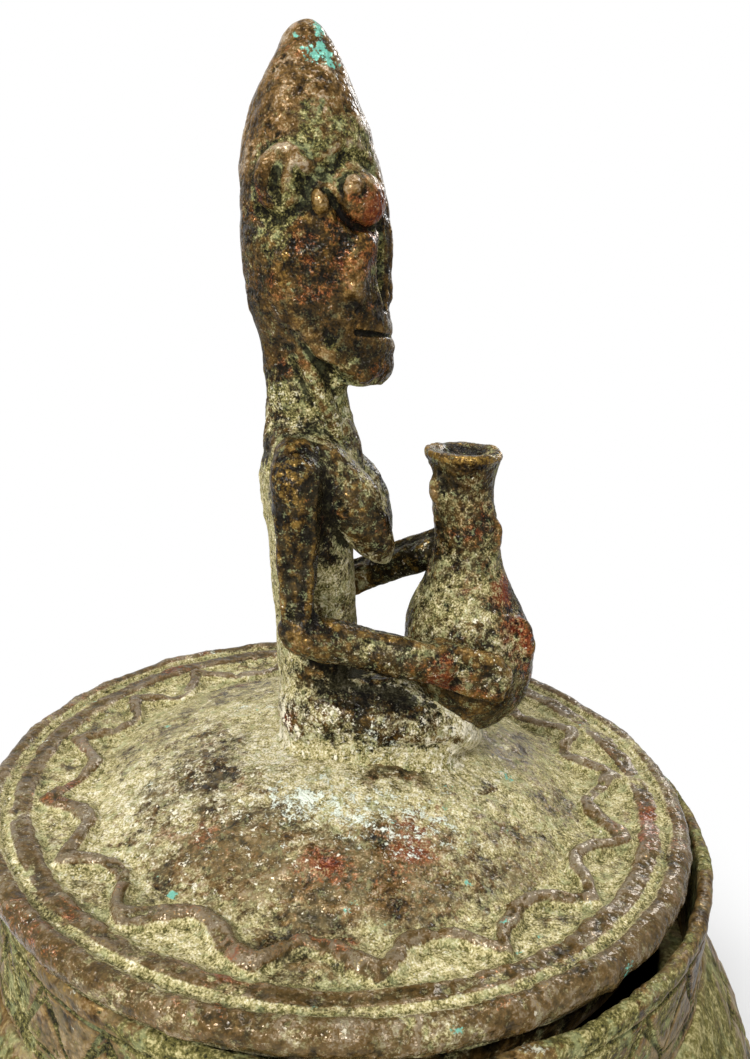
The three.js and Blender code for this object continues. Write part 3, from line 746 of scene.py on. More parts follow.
class Wax:
    """A block of wax on a grid. Forms are joined to it or pressed into it with soft edges."""

    def __init__(self, low, high, step):
        self.step = step
        self.axes = [np.arange(a, b + step, step) for a, b in zip(low, high)]
        self.field = np.full([len(axis) for axis in self.axes], FAR, np.float32)

    def around(self, form, margin):
        cut = tuple(slice(*np.searchsorted(axis, (low, high))) for axis, low, high in zip(
            self.axes, form.low - margin, form.high + margin))
        x, y, z = (axis[part] for axis, part in zip(self.axes, cut))
        return cut, form.distance(x[:, None, None], y[None, :, None], z[None, None, :])

    def join(self, form, soft=0.0):
        cut, gap = self.around(form, soft + 2 * self.step)
        self.field[cut] = soft_min(self.field[cut], gap, soft)

    def press(self, form, soft=0.0):
        cut, gap = self.around(form, soft + 2 * self.step)
        self.field[cut] = -soft_min(-self.field[cut], gap, soft)

    def skin(self):
        """Points and faces of the wax's surface: one point in each cell that it passes through."""
        field = self.field
        inside = field < 0
        shape = np.array(field.shape) - 1
        corners = [(i, j, k) for i in (0, 1) for j in (0, 1) for k in (0, 1)]

        def cell_view(values, corner):
            return values[tuple(slice(c, c + n) for c, n in zip(corner, shape))]

        full = sum(cell_view(inside, corner).astype(np.int8) for corner in corners)
        cells = np.argwhere((full > 0) & (full < 8))
        number = np.full(shape, -1)
        number[tuple(cells.T)] = np.arange(len(cells))
        total, crossings = np.zeros((len(cells), 3)), np.zeros(len(cells))
        for corner in corners:
            for axis in range(3):
                if corner[axis]:
                    continue
                start = cells + corner
                end = start.copy()
                end[:, axis] += 1
                a, b = field[tuple(start.T)], field[tuple(end.T)]
                cross = (a < 0) != (b < 0)
                spot = start[cross].astype(float)
                spot[:, axis] += a[cross] / (a[cross] - b[cross])
                total[cross] += spot
                crossings[cross] += 1
        origin = np.array([axis[0] for axis in self.axes])
        points = origin + self.step * total / crossings[:, None]
        faces = []
        for axis in range(3):
            u, v = (axis + 1) % 3, (axis + 2) % 3
            low = tuple(slice(0, -1) if k == axis else slice(1, -1) for k in range(3))
            high = tuple(slice(1, None) if k == axis else slice(1, -1) for k in range(3))
            edge = np.argwhere(inside[low] != inside[high])
            edge[:, u] += 1
            edge[:, v] += 1
            outward = inside[tuple(edge.T)]
            ring = []
            for du, dv in ((-1, -1), (0, -1), (0, 0), (-1, 0)):
                cell = edge.copy()
                cell[:, u] += du
                cell[:, v] += dv
                ring.append(number[tuple(cell.T)])
            quad = np.stack(ring, 1)
            quad[~outward] = quad[~outward][:, ::-1]
            faces.extend(quad.tolist())
        return points, faces


def head_stations(sizes):
    """Height, middle, half depth and half width of the head from the chin to the tip."""
    table = (
        (0.00, 0.17, 0.47, 0.46), (0.08, 0.12, 0.73, 0.67), (0.19, 0.03, 0.93, 0.87),
        (0.32, -0.02, 0.97, 0.96), (0.47, 0.00, 1.00, 1.00), (0.63, 0.00, 0.93, 0.94),
        (0.79, 0.005, 0.70, 0.72), (0.91, 0.02, 0.42, 0.42), (0.97, 0.03, 0.24, 0.24),
        (0.995, 0.03, 0.08, 0.08))
    chin, tall = mm(sizes.chin), mm(sizes.head_height)
    depth, width, ahead = mm(sizes.head_depth), mm(sizes.head_width), mm(sizes.head_forward)
    return [(chin + tall * rise, ahead + depth * shift, depth * deep / 2, width * wide / 2)
            for rise, shift, deep, wide in table]


def on_head(sizes, rise, angle, side, out=0.0):
    """A place by share of the head's height, degrees from the front and height over the skin."""
    line = smooth_line(head_stations(sizes))
    height = mm(sizes.chin) + mm(sizes.head_height) * rise
    centre, depth, width = (np.interp(height, line[:, 0], line[:, k]) for k in (1, 2, 3))
    cos, sin = math.cos(math.radians(angle)), math.sin(math.radians(angle))
    away = np.array([cos / depth, sin / width])
    away = away / np.linalg.norm(away) * out
    return np.array([centre + depth * cos + away[0], side * (width * sin + away[1]), height])


def head_wax(sizes):
    """Neck, tall pointed head, nose blade, pellet eyes, roll ears and slit mouth."""
    wax = Wax((-16, -18, 54), (27, 18, 139), mm(sizes.head_step))

    def bead(rise, angle, side, out, reach, turn):
        return ball(on_head(sizes, rise, angle, side, out), reach, side * turn)

    def strip(side, *knots):
        """A rod along the skin. Each knot gives rise, angle, height over the skin and radius."""
        return rod([(*on_head(sizes, rise, angle, side, out), thick)
                    for rise, angle, out, thick in knots])

    def mouth_line(rise, lift, turns, out, thick):
        """A rod from one side of the mouth to the other. Its ends rise by lift per degree."""
        halves = (NEAR_SIDE, turns[::-1]), (FAR_SIDE, turns[1:])
        return rod([(*on_head(sizes, rise + lift * turn, turn, side, out), thick)
                    for side, row in halves for turn in row])

    wax.join(tower([(54, 0.4, 7.0, 6.2), (70, 0.5, 7.2, 6.3), (80, 0.2, 7.4, 6.6),
                    (90, 0.0, 8.2, 7.2)], 2.3))
    wax.join(rod([(2.0, 0, 80, 4.6), (4.6, 0, 69, 4.4), (7.0, 0, 58, 4.4)]), 1.6)
    wax.join(tower(head_stations(sizes), 2.25), 2.5)
    wax.join(strip(FAR_SIDE, (0.60, 0, -2.6, 1.7), (0.53, 0, -1.9, 1.9), (0.44, 0, -1.3, 2.0),
                   (0.34, 0, -0.8, 2.2), (0.265, 0, -1.1, 2.2)), 0.7)
    for side in (NEAR_SIDE, FAR_SIDE):
        # Grooves beside the nose, over the eye and under it
        wax.press(strip(side, (0.48, 22, 0.2, 0.9), (0.42, 21, 0.2, 1.5), (0.34, 20, 0.2, 1.7),
                        (0.27, 19, 0.2, 1.5), (0.235, 20, 0.2, 0.9)), 0.7)
        wax.press(strip(side, (0.59, 76, 0.9, 1.5), (0.64, 56, 0.9, 1.5), (0.62, 34, 0.9, 1.5),
                        (0.55, 22, 0.9, 1.5)), 1.0)
        wax.press(strip(side, (0.53, 78, 0.6, 1.3), (0.47, 62, 0.6, 1.3), (0.45, 44, 0.6, 1.3),
                        (0.47, 28, 0.6, 1.3)), 0.9)
        # Eye disc, its hollow, the pellet in it, and the cheek
        wax.join(bead(0.528, 44, side, 0.0, (3.0, 4.8, 4.4), 40), 1.0)
        wax.press(bead(0.557, 57, side, 3.6, (1.5, 2.6, 2.5), 44), 0.6)
        wax.join(bead(0.557, 57, side, 1.4, (1.6, 2.0, 1.9), 44), 0.4)
        wax.join(strip(side, (0.40, 46, 0.5, 1.2), (0.35, 54, 0.5, 1.6), (0.29, 58, 0.5, 1.5)), 3.0)
        # Ear: outer roll, inner roll, hollows between them, lobe before it, hollow below
        wax.join(strip(side, (0.50, 121, -0.2, 1.7), (0.555, 124, 0.2, 2.2), (0.605, 117, 0.2, 2.3),
                       (0.625, 103, 0.1, 2.2), (0.60, 92, -0.2, 1.7)), 1.1)
        wax.join(strip(side, (0.595, 103, -0.4, 2.2), (0.55, 106, -0.6, 2.0),
                       (0.51, 103, -0.6, 1.7)), 0.9)
        wax.press(strip(side, (0.58, 111, 1.9, 0.6), (0.545, 114, 1.7, 0.7),
                        (0.51, 112, 1.4, 0.7)), 0.5)
        wax.press(strip(side, (0.565, 93, 1.2, 0.9), (0.53, 92, 0.9, 0.9)), 0.6)
        wax.join(bead(0.515, 82, side, 0.0, (1.5, 2.0, 2.2), 8), 0.8)
        wax.press(strip(side, (0.50, 94, 0.8, 1.0), (0.455, 112, 0.8, 1.5),
                        (0.48, 132, 0.8, 1.2)), 0.9)
        # Jaw, the hollow under it, and the strap of the neck
        wax.join(rod([(2.0, side * 8.4, 84.5, 1.6), (6.6, side * 8.0, 78.4, 1.8),
                      (11.8, side * 5.6, 75.6, 2.0)]), 1.8)
        wax.press(ball((4.6, side * 8.6, 73.4), (4.0, 3.0, 4.0)), 1.3)
        wax.join(rod([(-1.2, side * 6.4, 86, 1.4), (1.6, side * 6.7, 78, 1.7),
                      (4.8, side * 5.6, 69, 1.9), (7.6, side * 4.0, 60, 1.8)]), 1.0)
    wax.join(ball((13.4, 0, 76.6), (4.4, 5.6, 3.6)), 1.6)
    for rise, out, thick in ((0.178, -1.5, 1.4), (0.118, -1.3, 1.5)):
        wax.join(mouth_line(rise, 0.01 / 60, (0, 20, 40, 58), out, thick), 0.8)
    wax.press(mouth_line(0.146, 0.018 / 66, (0, 22, 44, 62), 0.1, 0.4), 0.5)
    return wax


def flask_side(sizes):
    """Height and radius of the flask from its base to its lip."""
    belly, neck, lip = mm(sizes.flask_belly), mm(sizes.flask_neck), mm(sizes.flask_lip)
    low, tall = mm(sizes.flask_lift), mm(sizes.flask_height)
    table = ((0.0, belly * 0.45), (0.1, belly * 0.8), (0.2, belly * 0.94), (0.31, belly * 0.97),
             (0.42, belly * 0.86), (0.53, belly * 0.63), (0.65, neck * 1.14), (0.8, neck * 1.02),
             (0.88, neck), (0.95, lip * 0.9), (0.98, lip), (1.0, lip * 0.96))
    return [(low + tall * rise, radius) for rise, radius in table]


def flask_wax(sizes):
    """The flask with its dished mouth, a chipped lip, and knobs and dents in its wall."""
    ahead, belly, lip = mm(sizes.flask_forward), mm(sizes.flask_belly), mm(sizes.flask_lip)
    top, room = mm(sizes.flask_lift) + mm(sizes.flask_height), 4
    wax = Wax((ahead - belly - room, -belly - room, -room),
              (ahead + belly + room, belly + room, top + 3), mm(sizes.flask_step))
    wax.join(tower([(height, ahead, radius, radius) for height, radius in flask_side(sizes)]))
    wax.press(ball((ahead + 0.3, 0, top + 1.6), (lip * 0.8, lip * 0.78, 3.6)), 0.8)
    wax.press(ball((ahead + lip, -lip * 0.4, top + 1.4), (4.0, 4.0, 1.9)), 0.8)
    knobs = ((5.8, -3.4, 44, 1.5), (-4.8, -4.2, 36, 1.7), (-6.0, -3.0, 53, 1.2),
             (6.2, 3.2, 38, 1.6), (-5.0, 5.0, 47, 1.5), (11.0, -7.0, 24, 2.0))
    dents = ((belly * 1.02, -belly * 0.3, 33, 2.2), (-6.6, -6.6, 41, 2.0),
             (7.4, -1.0, 50, 1.3), (-1.0, -8.4, 46, 1.4), (0.5, 9.0, 40, 1.8))
    for work, places, stretch in ((wax.join, knobs, 2.2), (wax.press, dents, 1.9)):
        for x, y, height, size in places:
            work(ball((ahead + x, y, height), (size, size, size * stretch)), 1.6)
    return wax


def body_wax(sizes):
    """Torso, breasts, arms, folded legs and the spread base that joins the dome."""
    wax = Wax((-20, -26, -10), (54, 26, 78), mm(sizes.body_step))
    tall, deep = mm(sizes.torso_height), mm(sizes.torso_depth) / 2
    waist, wide = mm(sizes.waist) / 2, mm(sizes.shoulders) / 2
    seat = mm(sizes.seat_width) / 2
    wax.join(tower([
        (tall * 0.0, 0, deep * 0.94, waist * 1.1), (tall * 0.35, 0, deep * 0.9, waist),
        (tall * 0.6, 0, deep * 0.94, waist), (tall * 0.8, 0, deep * 0.98, wide * 0.94),
        (tall * 0.9, 0, deep * 0.94, wide * 0.78), (tall * 1.0, 0, deep * 0.84, wide * 0.45),
        (tall * 1.1, 0, deep * 0.76, 6.0)], 2.2))
    wax.join(tower([
        (-9, 10, 19.6, seat * 1.04), (4, 10, 19.0, seat * 1.0), (8, 9.5, 18.0, seat * 0.96),
        (11, 8.5, 15.5, seat * 0.82), (13.5, 6.0, 11.0, seat * 0.6)], 3.4), 1.6)
    for side in (NEAR_SIDE, FAR_SIDE):
        # Folded leg, the groove under it and the foot
        wax.join(rod([(2, side * 9.4, 6.5, 6.0), (17, side * 10.4, 5.4, 6.0),
                      (27, side * 7.6, 3.4, 5.2)]), 1.2)
        wax.press(rod([(-4, side * 16.6, 3.0, 1.2), (12, side * 17.4, 2.6, 1.4),
                       (27, side * 14.4, 1.4, 1.2)]), 1.0)
        wax.join(ball((29, side * 5.5, 1.4), (5.0, 4.6, 3.6), side * -12), 1.4)
        chest, nipple = tall * 0.9, side * 7.2
        wax.join(rod([
            (deep - 5.6, nipple, chest, 6.2), (deep + 0.4, nipple, chest - 6.3, 6.1),
            (deep + 3.4, nipple, chest - 12.4, 4.4), (deep + 5.6, nipple, chest - 16.4, 1.9)]), 1.3)
    # Yoke of the shoulders, spine and breastbone
    wax.join(rod([(-0.6, 2.0 - wide, tall * 0.9, 4.4), (-0.4, 0, tall * 0.96, 5.6),
                  (-0.6, wide - 2.0, tall * 0.9, 4.4)]), 2.5)
    wax.join(rod([(-7.6, 0, 6, 1.0), (-7.2, 0, 30, 1.3), (-7.8, 0, 54, 1.2)]), 2.5)
    wax.join(rod([(3.0, 0, 68, 5.6), (6.4, 0, 58, 5.0), (7.6, 0, 48, 3.4)]), 2.5)
    # Radius held, rise of wrist and finger tips, turn of the tips, elbow's lift and stoutness
    for side, radius, wrist, tips, curl, hitch, stout in (
            (NEAR_SIDE, mm(sizes.flask_belly), 0.305, 0.265, 62, 2.0, 1.0),
            (FAR_SIDE, mm(sizes.flask_neck), 0.61, 0.73, 36, -1.5, 0.78)):
        shoulder = np.array([-0.8, side * (wide - 0.6), tall * 0.86])
        elbow = np.array([-2.2, side * mm(sizes.elbow_spread) / 2, mm(sizes.elbow_height) + hitch])
        collar = (-0.8, side * (wide - 3.0), tall * 0.955, 3.6)
        add_arm(wax, sizes, side, (collar, shoulder, elbow), (radius, wrist, tips, curl), stout)

    def dome(x, y, z):
        ball_radius, edge_gain, sunk = 103.6, 20, 8
        crown = np.sqrt((x - 4) ** 2 + y ** 2 + (z + ball_radius) ** 2) - ball_radius + 0.5
        edge = np.sqrt(((x - 13) / 30) ** 2 + (y / 23) ** 2) - 1
        return np.maximum(np.maximum(crown, edge * edge_gain), -sunk - z)

    wax.join(Form(dome, (-18, -24, -9), (46, 24, 2)), 2.0)
    return wax


def add_arm(wax, sizes, side, joints, hold, stout):
    """Upper arm, forearm, their edges and a hand of four fingers round the flask."""
    collar, shoulder, elbow = joints
    radius, wrist, tips, curl = hold
    palm_turn, fingers, finger_pitch = 115, 4, 2.3

    def grip(angle, rise, reach):
        turn = math.radians(angle)
        return np.array([
            mm(sizes.flask_forward) + reach * math.cos(turn), side * reach * math.sin(turn),
            mm(sizes.flask_lift) + mm(sizes.flask_height) * rise])

    upper = shoulder + (elbow - shoulder) * 0.55
    palm = grip(palm_turn, wrist, radius + 2.0)
    fore = elbow + (palm - elbow) * 0.5
    wax.join(rod([collar, (*shoulder, 4.8), (*upper, 3.5), (*(elbow + (0, 0, 2.0)), 3.0)]), 2.0)
    wax.join(rod([(*(elbow + (0.6, 0, 0.4)), 4.3 * stout), (*fore, 4.2 * stout),
                  (*palm, 4.0 * stout)]), 1.8)
    for lift in (2.4, -2.6):
        wax.join(rod([(*(spot + (lift * slim, side * 2.2, 0)), 1.0) for spot, slim in (
            (shoulder + (0, 0, -1.0), 1.2), (upper, 1.0), (elbow + (0, 0, 4.0), 0.8))]), 0.7)
    wax.join(rod([(*(spot + (0, side * 1.6, 3.4)), 1.1)
                  for spot in (elbow + (1.0, 0, 0), fore, palm)]), 0.8)
    for finger in range(fingers):
        from_middle = (fingers - 1) / 2 - finger
        spread = curl + 7 * abs(from_middle)
        aside = (0, 0, from_middle * finger_pitch)
        wax.join(rod([
            (*(grip(palm_turn + (spread - palm_turn) * part,
                    wrist + (tips - wrist) * part, radius + 0.8) + aside), 1.8 - 0.3 * part)
            for part in (0.0, 0.4, 0.75, 1.0)]), 1.5)


# Pieces


def finish_piece(piece, body, slot, *nodes):
    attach(piece, body)
    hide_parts(*nodes)


def weather(piece, material, lump, knob, grain, pit, seed, crest_steps=4, form_steps=14):
    """Gives a piece its cast skin. The heights are in millimetres."""
    cast_skin().apply(piece, **{
        "Lump height": lump * MM, "Knob height": knob * MM, "Grain height": grain * MM,
        "Pit depth": pit * MM, "Seed": seed,
        "Crest steps": crest_steps, "Form steps": form_steps, "Material": material})


def marked(points, **given):
    """All the marks that the patina reads, blank where none are given."""
    blank = np.zeros(len(points))
    return {key: given.get(key, blank) for key in (
        "fair", "gild", "ruddy", "crust", "speck", "bloom", "verdigris", "soil")}


class BRONZE_OT_vessel(bpy.types.Operator):
    """Make the vessel's bowl, its mouth collar and its foot ring"""

    bl_idname = "bronze.vessel"
    bl_label = "Make vessel"

    def execute(self, context):
        sizes, shades = context.scene.bronze_vessel, context.scene.bronze_patina
        self.bowl(sizes, patina(
            "vessel_patina", shades, crust=0.3, speck=0.2, red=0.5, mint=0.4, soil=0.28,
            film=0.5, pale=-0.14, vary=0.6, grain=2.2, soft=0.1))
        self.collar(sizes, patina(
            "collar_patina", shades, crust=0.32, speck=0.2, gold=0.6, red=0.5, mint=0.4, soil=0.4,
            film=0.5, pale=-0.2, vary=0.75, grain=1.3))
        self.foot(sizes, patina("foot_patina", shades, crust=0.1, speck=0.25, gold=0.6, red=0.25))
        return {"FINISHED"}

    def bowl(self, sizes, material):
        belly, wide = mm(sizes.belly_height), mm(sizes.belly)
        neck, foot, base = mm(sizes.neck), mm(sizes.foot), mm(sizes.base) + 0.1
        ledge, wall, bore = mm(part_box("vessel_bowl")[1].z), mm(sizes.wall), mm(sizes.bore)
        neck_angle, foot_angle = math.acos(neck / wide), math.acos(foot / wide)
        upper = (ledge - belly) / math.sin(neck_angle)
        lower = (belly - base) / math.sin(foot_angle)
        throat, floor = ledge - mm(sizes.ledge), base + wall
        throat_angle = math.degrees(math.asin((throat - belly) / (upper - wall)))
        floor_angle = math.degrees(math.asin((belly - floor) / (lower - wall)))
        # The outside keeps room for its cast skin within the CAD form
        outer, inner, ledge_top = wide - 0.8, wide - wall, ledge - 0.3
        lower_rows, upper_rows, inner_rows = 70, int(76 / mm(sizes.row)), 16
        profile = np.concatenate([
            [(0, base)], evenly([(8, base), (foot - 1.2, base)], 6.0),
            arc((0, belly), (outer, lower), -math.degrees(foot_angle), 0, lower_rows),
            arc((0, belly), (outer, upper), 0, math.degrees(neck_angle), upper_rows)[1:],
            evenly([(neck - 1.6, ledge_top), (bore + 0.5, ledge_top)], 2.0),
            evenly([(bore, ledge - 0.8), (bore, throat)], 2.0),
            arc((0, belly), (inner, upper - wall), throat_angle, 0, inner_rows),
            arc((0, belly), (inner, lower - wall), 0, -floor_angle, inner_rows)[1:], [(0, floor)]])
        points, faces = turned(profile, sizes.around)
        piece = mesh_piece("vessel_shell", points, faces, marked(
            points,
            crust=blotches(points, 40, 20, 0.3, 1) - blotches(points, 46, 18, 0.6, 2),
            fair=blotches(points, 30, 16, 0.16, 3) - blotches(points, 30, 16, 0.16, 4),
            ruddy=blotches(points, 44, 9, 0.5, 5), bloom=blotches(points, 40, 8, 0.4, 6),
            verdigris=blotches(points, 14, 4, 0.4, 7), speck=blotches(points, 50, 10, 0.7, 8)))
        self.incise(piece, sizes, material, sizes.girdle_low, sizes.girdle_high, sizes.girdle_teeth)
        weather(piece, material, lump=1.2, knob=0.6, grain=0.3, pit=0.3, seed=0.31)
        finish_piece(piece, "vessel", "crusted_bronze", "vessel_bowl")

    def incise(self, piece, sizes, material, low, high, teeth):
        incised_band().apply(piece, **{
            "Axis X": 0.0, "Axis Y": 0.0, "Band foot": low, "Band head": high,
            "Line width": sizes.line_width, "Line depth": sizes.line_depth,
            "Teeth": float(teeth), "Material": material})

    def collar(self, sizes, material):
        low, high = (mm(corner.z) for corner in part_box("mouth_collar"))
        outer, inner = mm(sizes.collar_outer), mm(sizes.collar_inner)
        finer_around = 360
        lip = arc((outer - 1.6, high - 1.7), (1.4, 1.4), 0, 90, 8)
        bead = arc((inner + 1.4, high - 1.6), (1.2, 1.3), 90, 180, 8)
        profile = np.concatenate([
            evenly([(inner + 0.5, low - 0.2), (outer + 0.2, low - 0.2)], 1.2),
            evenly([(outer + 0.3, low + 0.3), (outer - 0.3, low + 1.6),
                    (outer - 0.2, high - 2.2)], 0.5),
            lip, evenly([lip[-1], bead[0]], 0.4)[1:], bead[1:],
            evenly([(inner + 0.2, high - 2.2), (inner + 0.2, low + 0.4)], 1.2)])
        points, faces = turned(profile, sizes.around + finer_around)
        piece = mesh_piece("mouth_band", points, faces, marked(
            points,
            crust=blotches(points, 40, 9, 0.3, 11) - blotches(points, 44, 9, 0.5, 12),
            ruddy=blotches(points, 24, 6, 0.4, 13), bloom=blotches(points, 24, 5, 0.35, 14),
            verdigris=blotches(points, 10, 3, 0.4, 15)))
        self.incise(piece, sizes, material, sizes.band_low, sizes.band_high, sizes.band_teeth)
        weather(piece, material, lump=0.7, knob=0.5, grain=0.3, pit=0.3, seed=0.47, form_steps=20)
        finish_piece(piece, "vessel", "crusted_bronze", "mouth_collar")

    def foot(self, sizes, material):
        top, foot = mm(sizes.base), mm(sizes.foot)
        outer, inner = mm(sizes.foot_flare) - 0.4, mm(sizes.foot_bore) + 0.3
        profile = evenly([
            (inner + 0.6, 0.4), (outer - 0.8, 0.4), (outer, 0.9), (outer, 2.4), (outer - 1.4, 4.0),
            (foot - 0.3, top - 1.2), (foot - 0.6, top), (inner, top), (inner, 0.9)], 0.9)
        points, faces = turned(profile, sizes.around)
        piece = mesh_piece("foot_band", points, faces, marked(points))
        weather(piece, material, lump=0.5, knob=0.3, grain=0.15, pit=0.15, seed=0.59)
        finish_piece(piece, "vessel", "dark_bronze", "foot_ring")


def lid_marks(points):
    """Where crust, specks and blooms lie on the lid, and where shade is painted under its rim."""
    away, height = np.hypot(points[:, 0], points[:, 1]), points[:, 2]
    brim, roll = slope(away, 42, 12), slope(away, 68.5, 2)
    underside = height < -3
    return marked(
        points,
        crust=(0.15 * brim - 0.04 * roll + blotches(points, 90, 7, 0.25, 21)
               - blotches(points, 90, 7, 0.15, 22) + spots(points, [
                   (6, -32, 6, 15, -0.3), (34, -8, 8, 24, 0.12), (-32, -6, 7, 22, 0.16),
                   (-6, -45, 2, 14, -0.5), (14, -43, 2, 13, -0.5), (-24, -36, 3, 12, -0.25),
                   (32, -38, 3, 10, -0.15), (-10, 30, 6, 30, 0.25)])),
        speck=0.1 * brim + spots(points, [
            (4, -28, 7, 22, 0.7), (-30, -16, 6, 24, 0.9), (-10, 20, 8, 30, 0.6),
            (24, -20, 7, 16, 0.3), (-52, -34, 0, 26, 0.3)]),
        ruddy=blotches(points, 60, 5, 0.4, 23) + spots(points, [
            (-2, -44, 3, 10, 0.1), (14, -42, 3, 9, 0.2), (-20, -36, 4, 8, 0.2),
            (-20, -68, 0, 14, 0.3), (8, -52, 0, 6, 0.2), (-44, -52, 0, 9, 0.4)]),
        # Painted shade under the front half of the rim, and less darkening in the hollows of the
        # brim's top.
        soil=underside * spots(points, [
            (0, -73, -6, 16, 0.5), (-30, -66, -6, 16, 0.5), (30, -66, -6, 16, 0.5),
            (60, -40, -6, 16, 0.4), (-60, -40, -6, 16, 0.4)]) - 0.4 * brim * (height > -3),
        gild=spots(points, [(-30, -66, 0, 26, 0.2), (30, -64, 0, 22, 0.1)]),
        verdigris=blotches(points, 34, 2.0, 0.6, 25) + spots(points, [(25, -40, 3, 2.4, 1.0)]),
        bloom=blotches(points, 90, 2.0, 0.26, 24) + spots(points, [
            (6, -30, 7, 9, 0.6), (-9, -27, 7, 8, 0.6), (20, -29, 6, 8, 0.5),
            (26, -45, 1, 2.0, 0.9), (-20, 8, 9, 9, 0.3), (-40, -44, -2, 6, 0.2),
            (46, -42, -2, 9, 0.2), (-52, 20, -2, 12, 0.15), (20, -58, -2, 7, 0.2)]))


class BRONZE_OT_lid(bpy.types.Operator):
    """Make the lid's dome, its threaded brim with the rim roll, and its skirt"""

    bl_idname = "bronze.lid"
    bl_label = "Make lid"

    # Dome and brim lap each other, and each dips under the other over this run
    lap_run, lap_depth = 1.2, 0.1

    def execute(self, context):
        sizes, shades = context.scene.bronze_lid, context.scene.bronze_patina
        metal = patina(
            "lid_patina", shades, crust=0.08, speck=0.95, red=0.8, mint=0.9, gloss=0.85, soil=0.4,
            pale=0.06, film=0.6, shade=0.1, glint=0.16, soft=0.16, vary=0.85, leaf=0.4)
        self.dome(sizes, metal)
        self.brim(sizes, metal)
        self.skirt(sizes, patina("skirt_patina", shades, speck=0.2))
        return {"FINISHED"}

    def height(self, sizes, radius):
        """Height of the dome and brim above the rim's level."""
        rise = mm(DOME_TOP - RIM_LEVEL)
        foot, brim = mm(sizes.dome), -mm(sizes.brim_depth)
        ball_radius = (foot ** 2 + (rise - brim) ** 2) / (2 * (rise - brim))
        crown = rise - ball_radius + np.sqrt(np.maximum(ball_radius ** 2 - radius ** 2, 0))
        bank = 1.1 * slope(radius, mm(sizes.ridge) + 1.0, 2.5)
        return -soft_min(-crown, -brim - bank, mm(sizes.dome_foot) * 0.35)

    def turn_piece(self, name, profile, around, marks):
        points, faces = turned(profile, around)
        stood = points + (mm(LID_X), mm(LID_Y), mm(RIM_LEVEL))
        return mesh_piece(name, stood, faces, marks(points))

    def age(self, piece, material):
        """One skin for dome and brim, so that it runs on across their seam."""
        weather(piece, material, lump=0.9, knob=0.6, grain=0.3, pit=0.3, seed=0.11, form_steps=24)

    def dome(self, sizes, material):
        edge = mm(sizes.dome) + 4.5
        radius = np.concatenate([
            [0.0, 5, 9], np.arange(11, 20, 0.7), np.arange(20, edge, mm(sizes.row))])
        dip = slope(radius, mm(sizes.dome), self.lap_run) * self.lap_depth
        over = np.stack([radius, self.height(sizes, radius) - dip], 1)[::-1]
        inner = np.linspace(0, edge - 1, 8)
        under = np.stack([inner, self.height(sizes, inner) - mm(sizes.thickness)], 1)
        side = evenly([(edge, over[0, 1] - 3.6), (edge, over[0, 1] - 0.5)], 1.6)
        profile = np.concatenate([under, side, over])
        piece = self.turn_piece("dome_casting", profile, sizes.around, lid_marks)
        self.age(piece, material)
        finish_piece(piece, "lid", "crusted_bronze", "lid_dome")

    def brim(self, sizes, material):
        rim, inner = mm(sizes.rim) - 0.4, mm(sizes.rim) - mm(sizes.roll_width)
        roll_height = mm(sizes.roll_height)
        flat = np.arange(mm(sizes.dome) - 5.0, inner - 0.6, mm(sizes.row))
        over = np.stack([flat, self.height(sizes, flat)], 1)
        start = over[0].copy()
        over[:, 1] -= slope(flat, mm(sizes.dome), -self.lap_run) * self.lap_depth
        across, half = (rim - inner + 0.5) / 2, roll_height * 0.52
        roll = arc((inner - 0.5 + across, -0.1 - half), (across, half), 142, -62, 34)
        floor = -roll_height + 0.1
        profile = np.concatenate([
            evenly([(start[0], start[1] - 3.0), (inner - 3.0, floor), (rim - 1.2, floor)], 1.5),
            roll[::-1], over[::-1]])
        piece = self.turn_piece("brim_casting", profile, sizes.around, lid_marks)
        lid_relief().apply(piece, **{
            "Axis X": LID_X, "Axis Y": LID_Y, "Wander": sizes.wander,
            "Wave swing": sizes.wave_swing, "Wave count": float(sizes.wave_count),
            "Wave turn": sizes.wave_turn, "Wave radius": sizes.wave,
            "Thread width": sizes.thread_width, "Thread height": sizes.thread_height,
            "Ridge width": sizes.ridge_width, "Ridge height": sizes.ridge_height,
            "Ridge radius": sizes.ridge, "Roll radius": sizes.rim - sizes.roll_width,
            "Material": material})
        self.age(piece, material)
        finish_piece(piece, "lid", "worn_bronze", "rim_roll", "inner_ridge", "wave_thread")

    def skirt(self, sizes, material):
        low = mm(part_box("lid_skirt")[0].z - RIM_LEVEL) + 0.4
        outer = mm(sizes.skirt) - 0.3
        profile = evenly([
            (outer - 2.9, low), (outer - 0.5, low), (outer, low + 0.6), (outer, -4.6),
            (outer - 4.5, -4.9), (outer - 4.5, -7.2)], 0.9)
        piece = self.turn_piece("skirt_casting", profile, sizes.around // 2, marked)
        weather(piece, material, lump=0.5, knob=0.3, grain=0.15, pit=0.2, seed=0.71)
        finish_piece(piece, "lid", "dark_bronze", "lid_skirt")


